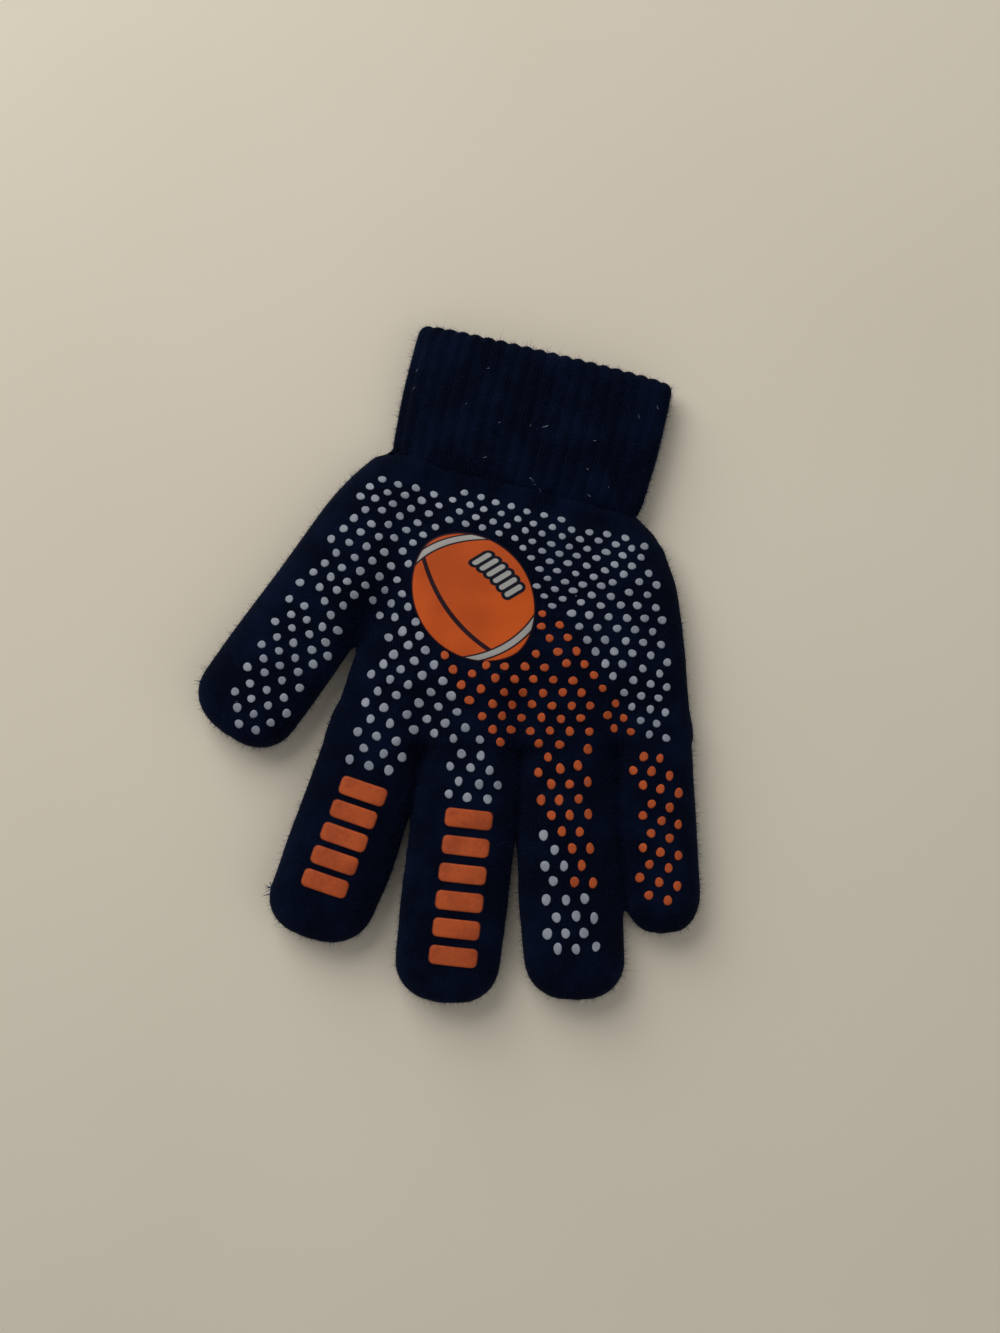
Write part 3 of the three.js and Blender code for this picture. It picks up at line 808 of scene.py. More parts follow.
def cuff_rings():
    """Each ring as distance along, inset, rib depth and scallop."""
    half = CUFF_WALL / 2
    reach = CUFF_LENGTH - half
    up = np.arange(-START_ROUND / 4, reach, CUFF_STEP)
    rings = []
    for along in up:
        # The edge over the palm is a quarter round
        still = 1 - np.clip(along / START_ROUND + 0.25, 0, 1)
        inset = RIB_DEPTH + START_ROUND * 0.7 * (1 - math.sqrt(1 - still**2))
        ease = smooth_step(along, -1, 3)
        rings.append((along, inset, RIB_DEPTH * ease, RIM_SCALLOP * smooth_step(along, reach - 3, reach)))
    for k in range(RIM_STEPS + 1):
        turn = math.pi * k / RIM_STEPS
        over = half * math.sin(turn)
        inset = RIB_DEPTH + (CUFF_WALL - RIB_DEPTH) * (1 - math.cos(turn)) / 2
        scallop = RIM_SCALLOP * (1 - 0.4 * k / RIM_STEPS)
        rings.append((reach + over, inset, RIB_DEPTH * (1 - k / RIM_STEPS), scallop))
    for along in np.arange(reach - 1, 0, -3 * CUFF_STEP):
        rings.append((along, CUFF_WALL, INSIDE_RIB_DEPTH, 0))
    rings.append((-START_ROUND / 4, CUFF_WALL, INSIDE_RIB_DEPTH, 0))
    return rings


def closed_bands(rings, around):
    """Quads between each ring and the next, and from the last back to the first."""
    ring = np.arange(rings)[:, None] * around
    after = (np.arange(1, rings + 1) % rings)[:, None] * around
    here, there = np.arange(around)[None, :], (np.arange(around)[None, :] + 1) % around
    return np.stack([ring + here, after + here, after + there, ring + there], axis=-1).reshape(-1, 4)


# %% Cuff mesh and its coordinates
def make_cuff():
    rings = cuff_rings()
    around = len(rib_phase)
    points = np.vstack([ribbed_ring(*ring) for ring in rings])
    piece = add_mesh("knit_cuff", points, closed_bands(len(rings), around), [knit_navy])
    steps = np.linalg.norm(np.diff([[r[0], r[1]] for r in rings], axis=0), axis=1)
    course = np.concatenate([[0], np.cumsum(steps), [np.sum(steps) + CUFF_WALL]])
    wale = np.arange(around + 1) / RIB_POINTS * 2 * WALE_PITCH
    ring, side = np.divmod(np.arange(len(rings) * around), around)
    corner_wales = np.stack([side, side, side + 1, side + 1], axis=1)
    corner_rings = np.stack([ring, ring + 1, ring + 1, ring], axis=1)
    layer = piece.data.uv_layers.new(name="knit")
    layer.data.foreach_set("uv", np.stack([wale[corner_wales], course[corner_rings]], axis=-1).ravel())
    return piece


knit_cuff = make_cuff()
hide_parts("cuff")
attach(knit_cuff, "root")
print("knit_cuff triangles:", triangles(knit_cuff))

# %% [markdown]
# Prints are laid on the knit from above, as the printer's screen lays them. A ray goes straight down from
# each point of a print, and where it meets the knit the rubber sits, following every hollow.

# %% Ground under the prints
hand_tree = BVHTree.FromPolygons(hand_points.tolist(), hand_quads.tolist())
ABOVE = 40
SKIRT = 0.25
DOWN = Vector((0, 0, -1))


def ground(x, y):
    """Height of the knit and how level it is at one place."""
    hit, normal, _, _ = hand_tree.ray_cast(Vector((x, y, ABOVE)), DOWN)
    return (hit.z, normal.z) if hit is not None else (None, 0)


# %% Laid pads
def laid_pad(outline, rings, thickness, shares):
    """A closed, domed pad over an outline: a middle, rings of points out to the edge, and a skirt."""
    middle = outline.mean(axis=0)
    sides = len(outline)
    flat = [middle]
    heights = [thickness]
    for share, high in zip(rings, shares):
        flat.extend(middle + (outline - middle) * share)
        heights.extend([thickness * high] * sides)
    points = []
    for (x, y), rise in zip(flat, heights):
        z, _ = ground(x, y)
        if z is None:
            return None
        points.append((x, y, z + rise))
    sunk = [(x, y, z - SKIRT) for x, y, z in points[-sides:]]
    points.extend(sunk)
    points.append((middle[0], middle[1], points[0][2] - thickness - SKIRT))
    return np.array(points)


def map_edge(piece, shares, sides, copies=1):
    """Writes how far out each point of a laid pad lies, for the finish to darken its rim."""
    ring = np.concatenate([[0], np.repeat(shares, sides), np.ones(sides), [1]])
    layer = piece.data.attributes.new("edge", "FLOAT", "POINT")
    layer.data.foreach_set("value", np.tile(ring, copies).astype(np.float32))


def pad_faces(ring_count, sides):
    """Faces of a laid pad: a fan, bands of quads down to the skirt, and a fan underneath."""
    faces = []
    last = ring_count + 1
    for k in range(sides):
        after = (k + 1) % sides
        faces.append((0, 1 + k, 1 + after))
        for ring in range(last - 1):
            start, end = 1 + ring * sides, 1 + (ring + 1) * sides
            faces.append((start + k, end + k, end + after, start + after))
        foot = 1 + (last - 1) * sides
        faces.append((1 + last * sides, foot + after, foot + k))
    return faces


# %% [markdown]
# The grip dots are one big print of almost four hundred, in a staggered pattern. The knit was stretched on
# a flat form when it was printed, so the pattern bends wherever it has sprung back: it fans out round the
# heel of the thumb, tightens at the wrist and is drawn out along the fingers. A short table holds the
# pattern at a few named places, as its two steps to a neighbouring dot. The dots grow from there, one step
# at a time, and take their own steps from the places nearby, so the rows stay whole but may bend.

# %% Pattern of the dots
rng = np.random.default_rng(7)
# Place of one dot, then the angle and length of the step up to the right and of the step down to the right
PATTERN = {
    "thumb tip": (-49.9, -14.7, 29, 4.1, -83, 3.8),
    "thumb middle": (-40.8, 6, 27, 4.1, -83, 3.5),
    "thumb base": (-25.1, 22.5, 40, 3.7, -67, 3.65),
    "wrist left": (-6.2, 38.5, 36, 3.3, -64, 3.6),
    "wrist middle": (16.7, 34.2, 39, 3.05, -62, 3.45),
    "wrist right": (37.8, 26.3, 39, 3.2, -60, 3.7),
    "outer edge": (47.2, 10.3, 46, 3.6, -58, 3.65),
    "below the outer edge": (50.4, -8.8, 52, 3.4, -60, 3.9),
    "over the index": (-16.8, -7, 42, 3.95, -69, 4.15),
    "over the middle": (-2.2, -11, 43, 3.95, -65, 4.2),
    "palm middle": (22.8, -7.5, 51, 3.95, -55, 3.8),
    "below the ball": (15.1, -16.3, 50, 3.9, -56, 3.9),
    "ring root": (26.5, -32.7, 61, 4.55, -58, 4.6),
    "ring middle": (27.6, -48.5, 63, 4.65, -58, 4.85),
    "little root": (48.7, -33.7, 56, 3.9, -63, 4.7),
    "little middle": (50.4, -52.5, 55, 4, -63, 4.75),
    "index root": (-20, -20.7, 41, 4.35, -72, 4.3),
    "middle root": (7.5, -29.1, 51, 4.15, -63, 4.3),
    "beside the trail": (33.3, 5.2, 49, 3.95, -58, 3.75),
    "above the trail": (26.2, 21.5, 34, 3.05, -48, 2.9),
    "above the ball": (5.4, 37.7, 35, 3.1, -62, 3.2),
}
PATTERN_REACH = 10
LEAST_APART = 0.74
EVEN_ROUNDS = 14


# %% Steps of the pattern
def step_vectors(angle, length):
    return np.column_stack([length * np.cos(np.radians(angle)), length * np.sin(np.radians(angle))])


pattern = np.array(list(PATTERN.values()))
pattern_places = pattern[:, :2]
up_steps = step_vectors(pattern[:, 2], pattern[:, 3])
down_steps = step_vectors(pattern[:, 4], pattern[:, 5])


def steps_at(place):
    """The pattern's two steps at a place: the table's, weighted by how near their places are."""
    away = np.hypot(*(pattern_places - place).T)
    weight = np.exp(-((away / PATTERN_REACH) ** 2)) + 1e-9
    weight = weight / weight.sum()
    return weight @ up_steps, weight @ down_steps


# %% Growth of the pattern
def grown_places():
    """Places of dots, grown outwards from the table's places, nearest ones first."""
    placed, waiting = [], [(0.0, k, tuple(place)) for k, place in enumerate(pattern_places)]
    number = len(waiting)
    while waiting:
        place = np.array(heapq.heappop(waiting)[2])
        if ground(*place)[1] < 0.6:
            continue
        up, down = steps_at(place)
        least = LEAST_APART * min(np.hypot(*up), np.hypot(*down))
        if placed and np.hypot(*(np.array(placed) - place).T).min() < least:
            continue
        placed.append(place)
        for step in (up, down, up + down, -up, -down, -up - down):
            away = np.hypot(*(pattern_places - place - step).T).min()
            heapq.heappush(waiting, (away, number, tuple(place + step)))
            number += 1
    return np.array(placed)


def evened_out(places):
    """Pushes dots apart a little where two stretches of the pattern meet."""
    steps = [steps_at(place) for place in places]
    room = 0.96 * np.array([min(np.hypot(*up), np.hypot(*down)) for up, down in steps])
    for _ in range(EVEN_ROUNDS):
        apart = places[:, None] - places[None]
        away = np.hypot(apart[:, :, 0], apart[:, :, 1]) + 1e-9
        push = 0.25 * np.clip(room[:, None] - away, 0, None) * (away > 0.01)
        places = places + (apart / away[:, :, None] * push[:, :, None]).sum(axis=1)
    return places


# %% [markdown]
# The printer's screen stops short of the cuff, of the glove's sides and of the crotches, and the dots make
# room for the ball and the bars. So a grown dot is kept only if it lies inside these edges, on level knit.

# %% Where the dots are printed
BALL = {"x": -8.7, "y": 33.9, "tilt": -39, "length": 34.5, "width": 27.8, "pointiness": 1.15}
ball_frame = Tilted(glove_place(BALL["x"], BALL["y"]), BALL["tilt"])
FIRST_ROW = 4.6
THUMB_PRINT = (-6.1, 10.2)
THUMB_PRINT_END = {"across": 2.6, "along": 23.5, "wide": 7.7, "long": 12.6}
PALM_MARGIN = {"left": 5.8, "right": 4.6}
# On each finger, how far to the left, to the right and along the dots go
FINGER_PRINT = {
    "index": (-4.3, 8.8, 8.3),
    "middle": (-4.6, 7.9, 14.9),
    "ring": (-7.8, 5.8, 52),
    "little": (-5.8, 5.1, 39.6),
}
LEAST_LEVEL = 0.72
BALL_ROOM = 0.6
# Half sizes of a dot, as shares of the step along a row and of the gap between rows
DOT_SHARE_ALONG_ROW = 0.228
DOT_SHARE_OF_GAP = 0.325


# %% Edges of the print
def ball_clearance(x, y):
    """How far a place is outside the ball's outline, roughly."""
    across, along = ball_frame.local(x, y)
    share = np.minimum(np.abs(along) / (BALL["length"] / 2), 1)
    half = BALL["width"] / 2 * (1 - share**2) ** (BALL["pointiness"] / 2)
    return np.maximum(np.abs(across) - half, np.abs(along) - BALL["length"] / 2)


def on_thumb(x, y):
    across, along = THUMB["frame"].local(x, y)
    return along > 0 and across < THUMB["root"] / 2 - 1


def is_printed(x, y):
    left, right = THUMB_PRINT
    thumb_across, thumb_along = THUMB["frame"].local(x, y)
    if cuff_frame.local(x, y)[1] < FIRST_ROW or thumb_across < left:
        return False
    if on_thumb(x, y):
        end = THUMB_PRINT_END
        beyond = max(thumb_along - end["along"], 0) / end["long"]
        in_end = beyond == 0 or math.hypot((thumb_across - end["across"]) / end["wide"], beyond) < 1
        return thumb_across < right and in_end
    if y > KNUCKLE[1] + 1:
        across, along, section = palm_place(x, y)
        half = section["width"] / 2
        if along > CROTCH_SHARE - 0.04 and across < PALM_MARGIN["left"] - half:
            return False
        return across < half - PALM_MARGIN["right"]
    finger = FINGERS[int(nearest_digit(np.array([[x, y]]))[0])]
    across, along = finger["frame"].local(x, y)
    left, right, end = FINGER_PRINT[finger["name"]]
    return left < across < right and along < end


# %% Kept dots
def set_out_dots():
    """Each kept dot as its place, its two half sizes and its tilt, all from the pattern's steps there."""
    dots = []
    for place in evened_out(grown_places()):
        level = ground(*place)[1]
        if level < LEAST_LEVEL or ball_clearance(*place) < BALL_ROOM or not is_printed(*place):
            continue
        up, down = steps_at(place)
        row = up + down
        row_step = np.hypot(*row)
        row_gap = abs(up[0] * down[1] - up[1] * down[0]) / row_step
        half_sizes = (DOT_SHARE_ALONG_ROW * row_step, DOT_SHARE_OF_GAP * row_gap)
        dots.append((*place, half_sizes, -math.degrees(math.atan2(row[1], row[0]))))
    return dots


dots = set_out_dots()
dot_places = np.array([dot[:2] for dot in dots])

# %% [markdown]
# Most dots are pale, and a trail of orange ones runs from the ball down to the ring and little fingers, as
# if the ball had been thrown. Straight lines bound the trail.

# %% Colour of a dot
TRAIL_RIGHT = ((22.1, 16.1), (51.0, -23.6))
TRAIL_LEFT = ((-2.7, 3.4), (12.7, -22.9))
TRAIL_END = ((22.4, -40.7), (33.7, -58.1))


def side_of(line, x, y):
    """Above 0 on the right of a line that is walked down the glove, seen from above."""
    (x0, y0), (x1, y1) = line
    return (x - x0) * (y0 - y1) + (y - y0) * (x1 - x0)


def is_orange(x, y):
    if ball_frame.local(x, y)[1] < 5:
        return False
    if side_of(TRAIL_RIGHT, x, y) > 0 and y > -30:
        return x > 46 and y < -20 and side_of(TRAIL_RIGHT, x - 4, y) < 0
    if side_of(TRAIL_LEFT, x, y) < 0:
        return False
    little = x > 41 and y < -18
    return little or side_of(TRAIL_END, x, y) > 0


orange_dots = [dot for dot in dots if is_orange(dot[0], dot[1])]
pale_dots = [dot for dot in dots if not is_orange(dot[0], dot[1])]
print("dots:", len(dots), "orange:", len(orange_dots))

# %% [markdown]
# Each dot is a low dome, a quarter of a millimetre high, with a softly uneven outline. All dots of one
# colour are one mesh, because hundreds of objects would only slow Blender down.

# %% Dot meshes
DOT_SIDES = 16
DOT_HEIGHT = 0.27
DOT_RINGS = [0.45, 0.75, 0.93, 1.0]
DOT_SHARES = [1.0, 0.94, 0.62, 0.02]


def dot_outline(x, y, half_sizes, tilt):
    angle = np.arange(DOT_SIDES) * 2 * math.pi / DOT_SIDES
    grown = rng.normal(1, 0.05, 2)
    wobble = 1 + 0.04 * np.sin(2 * angle + rng.uniform(0, 6)) + 0.035 * np.sin(3 * angle + rng.uniform(0, 6))
    local = Tilted((x + rng.normal(0, 0.12), y + rng.normal(0, 0.12)), tilt)
    across = np.cos(angle) * half_sizes[0] * grown[0] * wobble
    # Forward runs down the glove, so the outline turns the other way round to face up
    along = -np.sin(angle) * half_sizes[1] * grown[1] * wobble
    return np.column_stack(local.place(across, along))


# %% Dots of one colour
def dot_mesh(name, chosen, finish):
    pads = []
    for dot in chosen:
        outline = dot_outline(*dot)
        pads.append(laid_pad(outline, DOT_RINGS, DOT_HEIGHT * rng.uniform(0.85, 1.1), DOT_SHARES))
    pads = [pad for pad in pads if pad is not None]
    template = pad_faces(len(DOT_RINGS), DOT_SIDES)
    faces = [[index + k * len(pads[0]) for index in face] for k in range(len(pads)) for face in template]
    piece = add_mesh(name, np.vstack(pads), faces, [finish])
    map_edge(piece, DOT_RINGS, DOT_SIDES, len(pads))
    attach(piece, "root")
    print(name, len(pads), "dots,", triangles(piece), "triangles")


dot_mesh("grip_dots_orange", orange_dots, orange_print)
dot_mesh("grip_dots_pale", pale_dots, pale_print)

# %% [markdown]
# The ball is the one big print: a plain ball for throwing, drawn as any such ball is drawn. Its pad follows
# the knit, and the drawing is in the finish, from two coordinates in millimetres, because lines a few tenths
# wide need no geometry. A line is where a curve's distance is small, and a stripe the same but wider.

# %% Ball finish
def ball_finish():
    finish = Finish("ball_print")
    across, along = finish.mapped("pad")
    grain = finish.noise(900, 3, 0.6)
    slow = finish.noise(60, 2, 0.5)
    rubber = finish.mix(finish.step(slow, 0.35, 0.7), srgb(200, 84, 26), srgb(180, 75, 26))
    white, ink = srgb(160, 158, 154), srgb(36, 14, 24)
    # Stripes near both ends, bowed outwards, and the seam between them
    upper = along + 15.8 - (across + 4.4) ** 2 * 0.0255
    lower = along - 14.4 + (across - 2) ** 2 * 0.0235
    nearest = finish.maths("MINIMUM", abs(upper), abs(lower))
    stripe = finish.step(nearest, 0.78, 0.62)
    stripe_ink = finish.step(nearest, 1.2, 1.02)
    seam_line = across + 6.75 - (along - 1) ** 2 * 0.0138
    between_stripes = finish.step(upper, 0, 0.3) * finish.step(lower, 0, -0.3)
    seam = finish.step(abs(seam_line), 0.64, 0.46) * between_stripes
    # Laces: six rounded rungs, each a distance to a short line, on a dark patch a little larger
    rungs, pitch, first = 6, 2.13, -5.74
    beside = across - 8.35 - along * 0.085 + along**2 * 0.016
    passed = (along - beside * 0.14 - first) / pitch
    nearest_rung = finish.maths("MAXIMUM", finish.maths("ROUND", passed), 0)
    nearest_rung = finish.maths("MINIMUM", nearest_rung, rungs - 1)
    rung_across = finish.maths("MAXIMUM", abs(beside) - 1.7, 0)
    away = (rung_across**2 + ((passed - nearest_rung) * pitch) ** 2) ** 0.5
    patch = finish.step(away, 1.5, 1.34)
    lace = finish.step(away, 0.7, 0.56)
    colour = finish.mix(finish.maths("MAXIMUM", stripe_ink, seam), rubber, ink)
    colour = finish.mix(stripe, colour, white)
    colour = finish.mix(patch, colour, srgb(10, 12, 28))
    colour = finish.mix(lace, colour, white)
    colour = finish.mix(finish.step(finish.edge(), 0.965, 0.98), colour, ink)
    finish.set(Base_Color=colour, Roughness=0.6 + grain * 0.2, Specular_IOR_Level=0.15)
    finish.bump(grain + stripe * 0.4 + lace * 0.6 - seam * 0.6, 0.14, 0.6)
    return finish.material


# %% Ball pad
BALL_HEIGHT = 0.45


def ball_outline(sides):
    angle = np.arange(sides) * 2 * math.pi / sides
    out = np.sign(np.cos(angle)) * np.abs(np.cos(angle)) ** BALL["pointiness"] * BALL["width"] / 2
    return np.column_stack([out, -np.sin(angle) * BALL["length"] / 2])


def map_pad(piece, local_frame):
    points = np.array([v.co for v in piece.data.vertices]) / MM
    map_points(piece, "pad", np.column_stack(local_frame.local(points[:, 0], points[:, 1])))


def make_ball():
    sides, rings = 96, 30
    outline = ball_outline(sides)
    laid = np.column_stack(ball_frame.place(outline[:, 0], outline[:, 1]))
    shares = (np.arange(rings) + 1) / rings
    heights = np.clip((1 - shares**14), 0.02, 1)
    pad = laid_pad(laid, shares, BALL_HEIGHT, heights)
    piece = add_mesh("ball_face", pad, pad_faces(rings, sides), [ball_finish()])
    map_pad(piece, ball_frame)
    map_edge(piece, shares, sides)
    return piece


ball_face = make_ball()
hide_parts("ball_print")
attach(ball_face, "root")
print("ball_face triangles:", triangles(ball_face))

# %% [markdown]
# Two fingers carry plain orange bars, one under the other, like the rungs of a ladder. Each has rounded
# corners and a thin dark edge, where the navy shows through the end of the print.

# %% Bars
BAR = {"width": 11.6, "depth": 4.6, "round": 1.2}
BAR_HEIGHT = 0.42
BAR_SIDES = 48
BAR_ROWS = [
    {"finger": "index", "count": 5, "first": 12.4, "pitch": 5.9, "aside": 1.9, "drift": -0.061},
    {"finger": "middle", "count": 6, "first": 18.9, "pitch": 6.55, "aside": 1.3, "drift": 0},
]


def bar_outline():
    x, y, corner = BAR["width"] / 2 - BAR["round"], BAR["depth"] / 2 - BAR["round"], 8
    points = []
    for turn, (cx, cy) in enumerate([(x, -y), (-x, -y), (-x, y), (x, y)]):
        for k in range(corner + 1):
            angle = (turn + k / corner) * math.pi / 2
            points.append((cx + math.cos(angle) * BAR["round"], cy - math.sin(angle) * BAR["round"]))
    return evenly_spaced(np.array(points), BAR_SIDES)


# %% Bars on the fingers
def make_bar(name, finger, along, aside):
    place = Tilted(finger["frame"].place(aside, along), finger["tilt"])
    outline = bar_outline() * rng.normal(1, 0.012, 2)
    laid = np.column_stack(place.place(outline[:, 0], outline[:, 1]))
    shares = np.array([0.2, 0.4, 0.6, 0.78, 0.9, 0.96, 1.0])
    heights = [1, 1, 1, 0.97, 0.85, 0.55, 0.03]
    pad = laid_pad(laid, shares, BAR_HEIGHT, heights)
    piece = add_mesh(name, pad, pad_faces(len(shares), BAR_SIDES), [orange_print])
    map_edge(piece, shares, BAR_SIDES)
    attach(piece, "root")
    return piece, place


bar_frames = []
for row in BAR_ROWS:
    finger = next(f for f in FINGERS if f["name"] == row["finger"])
    for k in range(row["count"]):
        node = f"{row['finger']}_bar_{k + 1}"
        passed = k * row["pitch"]
        aside = row["aside"] + row["drift"] * passed
        bar, bar_frame = make_bar(f"print_{node}", finger, row["first"] + passed, aside)
        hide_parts(node)
        bar_frames.append(bar_frame)
print("bars:", len(bar_frames))

# %% [markdown]
# Brushed acrylic stands up in a haze of loose fibres, a millimetre or two long. It softens the outline more
# than any finish can, so the fibres are real: closed, tapered slivers of three sides, thousands to a mesh.
# They start at random on the outside of the knit, lean over, and leave the prints bare.

# %% Fibres
FIBRE_STEPS = 2
# How thick the haze is on level knit, and how much thicker on the sides, where it shows as an outline
LEVEL_SHARE, SIDE_SHARE = 0.4, 3.5
# How far around each kind of print the knit stays bare
BARE_ROUND = {"ball": 0.8, "bar": 0.6, "dot": 1.5}


def slivers(starts, headings, bends, lengths, thickness, steps=FIBRE_STEPS):
    """Points and faces of closed, tapered, three-sided fibres that head one way and bend another."""
    aside = np.cross(headings, bends)
    aside = aside / np.linalg.norm(aside, axis=1, keepdims=True)
    upright = np.cross(headings, aside)
    upright = upright / np.linalg.norm(upright, axis=1, keepdims=True)
    rings = []
    for k in range(steps):
        share = k / steps
        middle = starts + lengths[:, None] * (headings * share + bends * share**2)
        half = thickness[:, None] / 2 * (1 - 0.6 * share)
        for corner in range(3):
            turn = 2 * math.pi * corner / 3
            rings.append(middle + half * (aside * math.cos(turn) + upright * math.sin(turn)))
    rings.append(starts + lengths[:, None] * (headings + bends))
    points = np.stack(rings, axis=1).reshape(-1, 3)
    points[:, 2] = np.maximum(points[:, 2], 0.03)
    template = [(0, 2, 1)]
    for corner in range(3):
        after = (corner + 1) % 3
        for k in range(0, 3 * (steps - 1), 3):
            template.append((k + corner, k + after, k + 3 + after, k + 3 + corner))
        template.append((3 * steps - 3 + corner, 3 * steps - 3 + after, 3 * steps))
    each = 3 * steps + 1
    faces = [tuple(index + n * each for index in face) for n in range(len(starts)) for face in template]
    return points, faces


# %% Places of the fibres
def scattered(points, quads, count, allowed):
    """Random places on some of a mesh's quads, with the knit's outward direction there."""
    ring = points[quads]
    across = np.cross(ring[:, 2] - ring[:, 0], ring[:, 3] - ring[:, 1])
    size = np.linalg.norm(across, axis=1)
    chance = size * allowed * (LEVEL_SHARE + SIDE_SHARE * (1 - np.abs(across[:, 2]) / size))
    chosen = rng.choice(len(quads), count, p=chance / chance.sum())
    share = rng.uniform(0, 1, (2, count, 1))
    left = blend(ring[chosen, 0], ring[chosen, 1], share[0])
    right = blend(ring[chosen, 3], ring[chosen, 2], share[0])
    return blend(left, right, share[1]), across[chosen] / size[chosen, None]


def is_bare(places, normals):
    """Whether a print covers a place on the glove's upper side."""
    x, y = places[:, 0], places[:, 1]
    covered = ball_clearance(x, y) < BARE_ROUND["ball"]
    half_width, half_depth = (BAR[size] / 2 + BARE_ROUND["bar"] for size in ("width", "depth"))
    for bar_frame in bar_frames:
        across, along = bar_frame.local(x, y)
        covered |= (np.abs(across) < half_width) & (np.abs(along) < half_depth)
    for dot in dot_places:
        covered |= np.hypot(x - dot[0], y - dot[1]) < BARE_ROUND["dot"]
    return covered & (normals[:, 2] > 0.2)


# %% Haze of fibres
def fuzz(name, points, quads, count, allowed, finish):
    places, normals = scattered(points, quads, count, allowed)
    bare = is_bare(places, normals)
    places, normals = places[~bare], normals[~bare]
    headings = normals + rng.normal(0, 0.55, places.shape)
    headings = headings / np.linalg.norm(headings, axis=1, keepdims=True)
    bends = rng.normal(0, 0.5, places.shape)
    lengths = np.minimum(rng.gamma(3, 0.24, len(places)), 1.9)
    thickness = rng.uniform(0.04, 0.08, len(places))
    fibres = slivers(places - 0.1 * normals, headings, bends, lengths, thickness)
    piece = add_mesh(name, *fibres, [finish])
    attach(piece, "root")
    print(name, len(places), "fibres,", triangles(piece), "triangles")


def plain_finish(name, colour, roughness):
    finish = Finish(name)
    finish.set(Base_Color=srgb(*colour), Roughness=roughness, Specular_IOR_Level=0.1)
    return finish.material


# %% Fuzz on the hand and the cuff
# Painted sheen: the fibres and the ends of yarn are a lighter navy than the knit, for the light that loose
# fibres catch
fibre_navy_sheen = plain_finish("fibre_navy_sheen", (26, 41, 80), 0.8)
LOWEST_FIBRE = 0.4
# The cuff's first faces are its outside and its rim
CUFF_OUTSIDE_SHARE = 0.74

middles = hand_points[hand_quads].mean(axis=1)
cells = tuple(np.clip(np.rint((middles - low) / VOXEL).astype(int), 0, counts - 1).T)
below_cuff = cuff_frame.local(middles[:, 0], middles[:, 1])[1] > 0.3
outside = (outer_field[cells] > -0.9) & (middles[:, 2] > LOWEST_FIBRE) & below_cuff
fuzz("fuzz_hand", hand_points, hand_quads, 21800, outside, fibre_navy_sheen)

cuff_points = np.array([tuple(v.co) for v in knit_cuff.data.vertices]) / MM
cuff_quads = np.array([tuple(face.vertices) for face in knit_cuff.data.polygons])
cuff_middles = cuff_points[cuff_quads].mean(axis=1)
cuff_outside = np.arange(len(cuff_quads)) < len(cuff_quads) * CUFF_OUTSIDE_SHARE
cuff_outside &= cuff_middles[:, 2] > LOWEST_FIBRE
fuzz("fuzz_cuff", cuff_points, cuff_quads, 9000, cuff_outside, fibre_navy_sheen)

# %% [markdown]
# A worn glove picks up lint: a handful of short, curled, pale bits, most of them on the cuff. The knitter's
# last ends of yarn stick out where the thumb and the index finger were closed.

# %% Lint and ends of yarn
def add_strands(name, starts, headings, bends, lengths, thickness, finish):
    piece = add_mesh(name, *slivers(starts, headings, bends, lengths, thickness, 5), [finish])
    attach(piece, "root")


def over_surface(normals, rise):
    """Random directions that run over a surface and leave it a little."""
    directions = rng.normal(0, 1, normals.shape)
    directions -= (directions * normals).sum(axis=1)[:, None] * normals
    return directions / np.linalg.norm(directions, axis=1, keepdims=True) + rise * normals


def lint_on(points, quads, allowed, count):
    places, normals = scattered(points, quads, count, allowed)
    return places + 0.2 * normals, over_surface(normals, 0.15), 0.7 * over_surface(normals, 0.1)


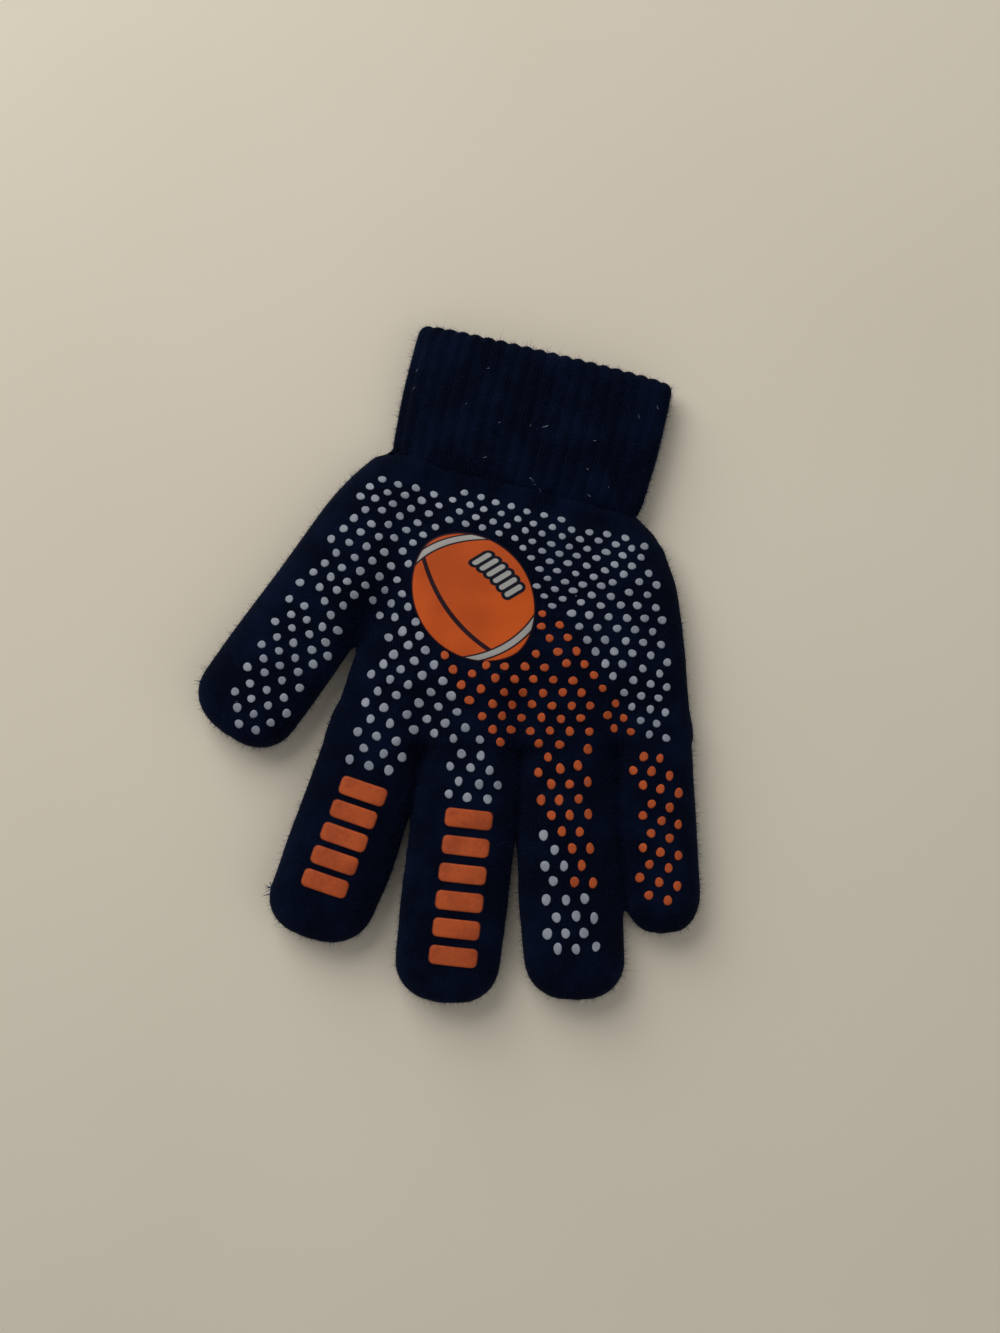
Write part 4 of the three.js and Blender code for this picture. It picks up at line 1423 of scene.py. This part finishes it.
cuff_top = cuff_outside & (cuff_middles[:, 2] > 8)
hand_top = outside & (middles[:, 2] > 9)
lint_sets = [lint_on(cuff_points, cuff_quads, cuff_top, 20), lint_on(hand_points, hand_quads, hand_top, 4)]
lint_places, lint_headings, lint_bends = (np.vstack(part) for part in zip(*lint_sets))
lint_lengths = rng.uniform(0.3, 1.3, len(lint_places))
lint_thickness = rng.uniform(0.12, 0.28, len(lint_places))
lint_pale = plain_finish("lint_pale", (122, 130, 146), 0.9)
add_strands("lint", lint_places, lint_headings, lint_bends, lint_lengths, lint_thickness, lint_pale)

# %% Ends of yarn
TUFT = 14
TUFT_HEIGHT = 5.5


def yarn_end(digit, across, from_tip):
    """A tuft of split yarn that leaves a digit's tip."""
    x, y = digit["frame"].place(across, digit["length"] - from_tip)
    starts = np.array([[x, y, TUFT_HEIGHT]] * TUFT) + rng.normal(0, 0.45, (TUFT, 3))
    out = 0.5 * digit["frame"].forward - digit["frame"].across
    headings = np.array([[*out, 0.1]] * TUFT) + rng.normal(0, 0.6, (TUFT, 3))
    return starts, headings / np.linalg.norm(headings, axis=1, keepdims=True), rng.normal(0, 0.35, (TUFT, 3))


ends = [yarn_end(THUMB, -10.9, 7), yarn_end(FINGERS[0], -11.2, 9)]
starts, headings, bends = (np.vstack(part) for part in zip(*ends))
yarn_lengths = rng.uniform(1.2, 2.4, len(starts))
add_strands("yarn_ends", starts, headings, bends, yarn_lengths, np.full(len(starts), 0.34), fibre_navy_sheen)
print("lint:", len(lint_places), "ends of yarn:", len(starts))

# %% [markdown]
# The floor is stage, not part of the glove: a plain, pale, matt plane.

# %% Floor
def make_floor():
    finish = Finish("pale_floor")
    slow = finish.noise(9, 2, 0.5)
    finish.set(Base_Color=finish.mix(slow, srgb(226, 217, 200), srgb(218, 208, 189)), Roughness=0.95)
    finish.set(Specular_IOR_Level=0.1)
    size, below = 3000, -0.2
    corners_of_floor = [(x * size, y * size, below) for x, y in ((-1, -1), (1, -1), (1, 1), (-1, 1))]
    floor = add_mesh("floor", corners_of_floor, [(0, 1, 2, 3)], [finish.material])


make_floor()
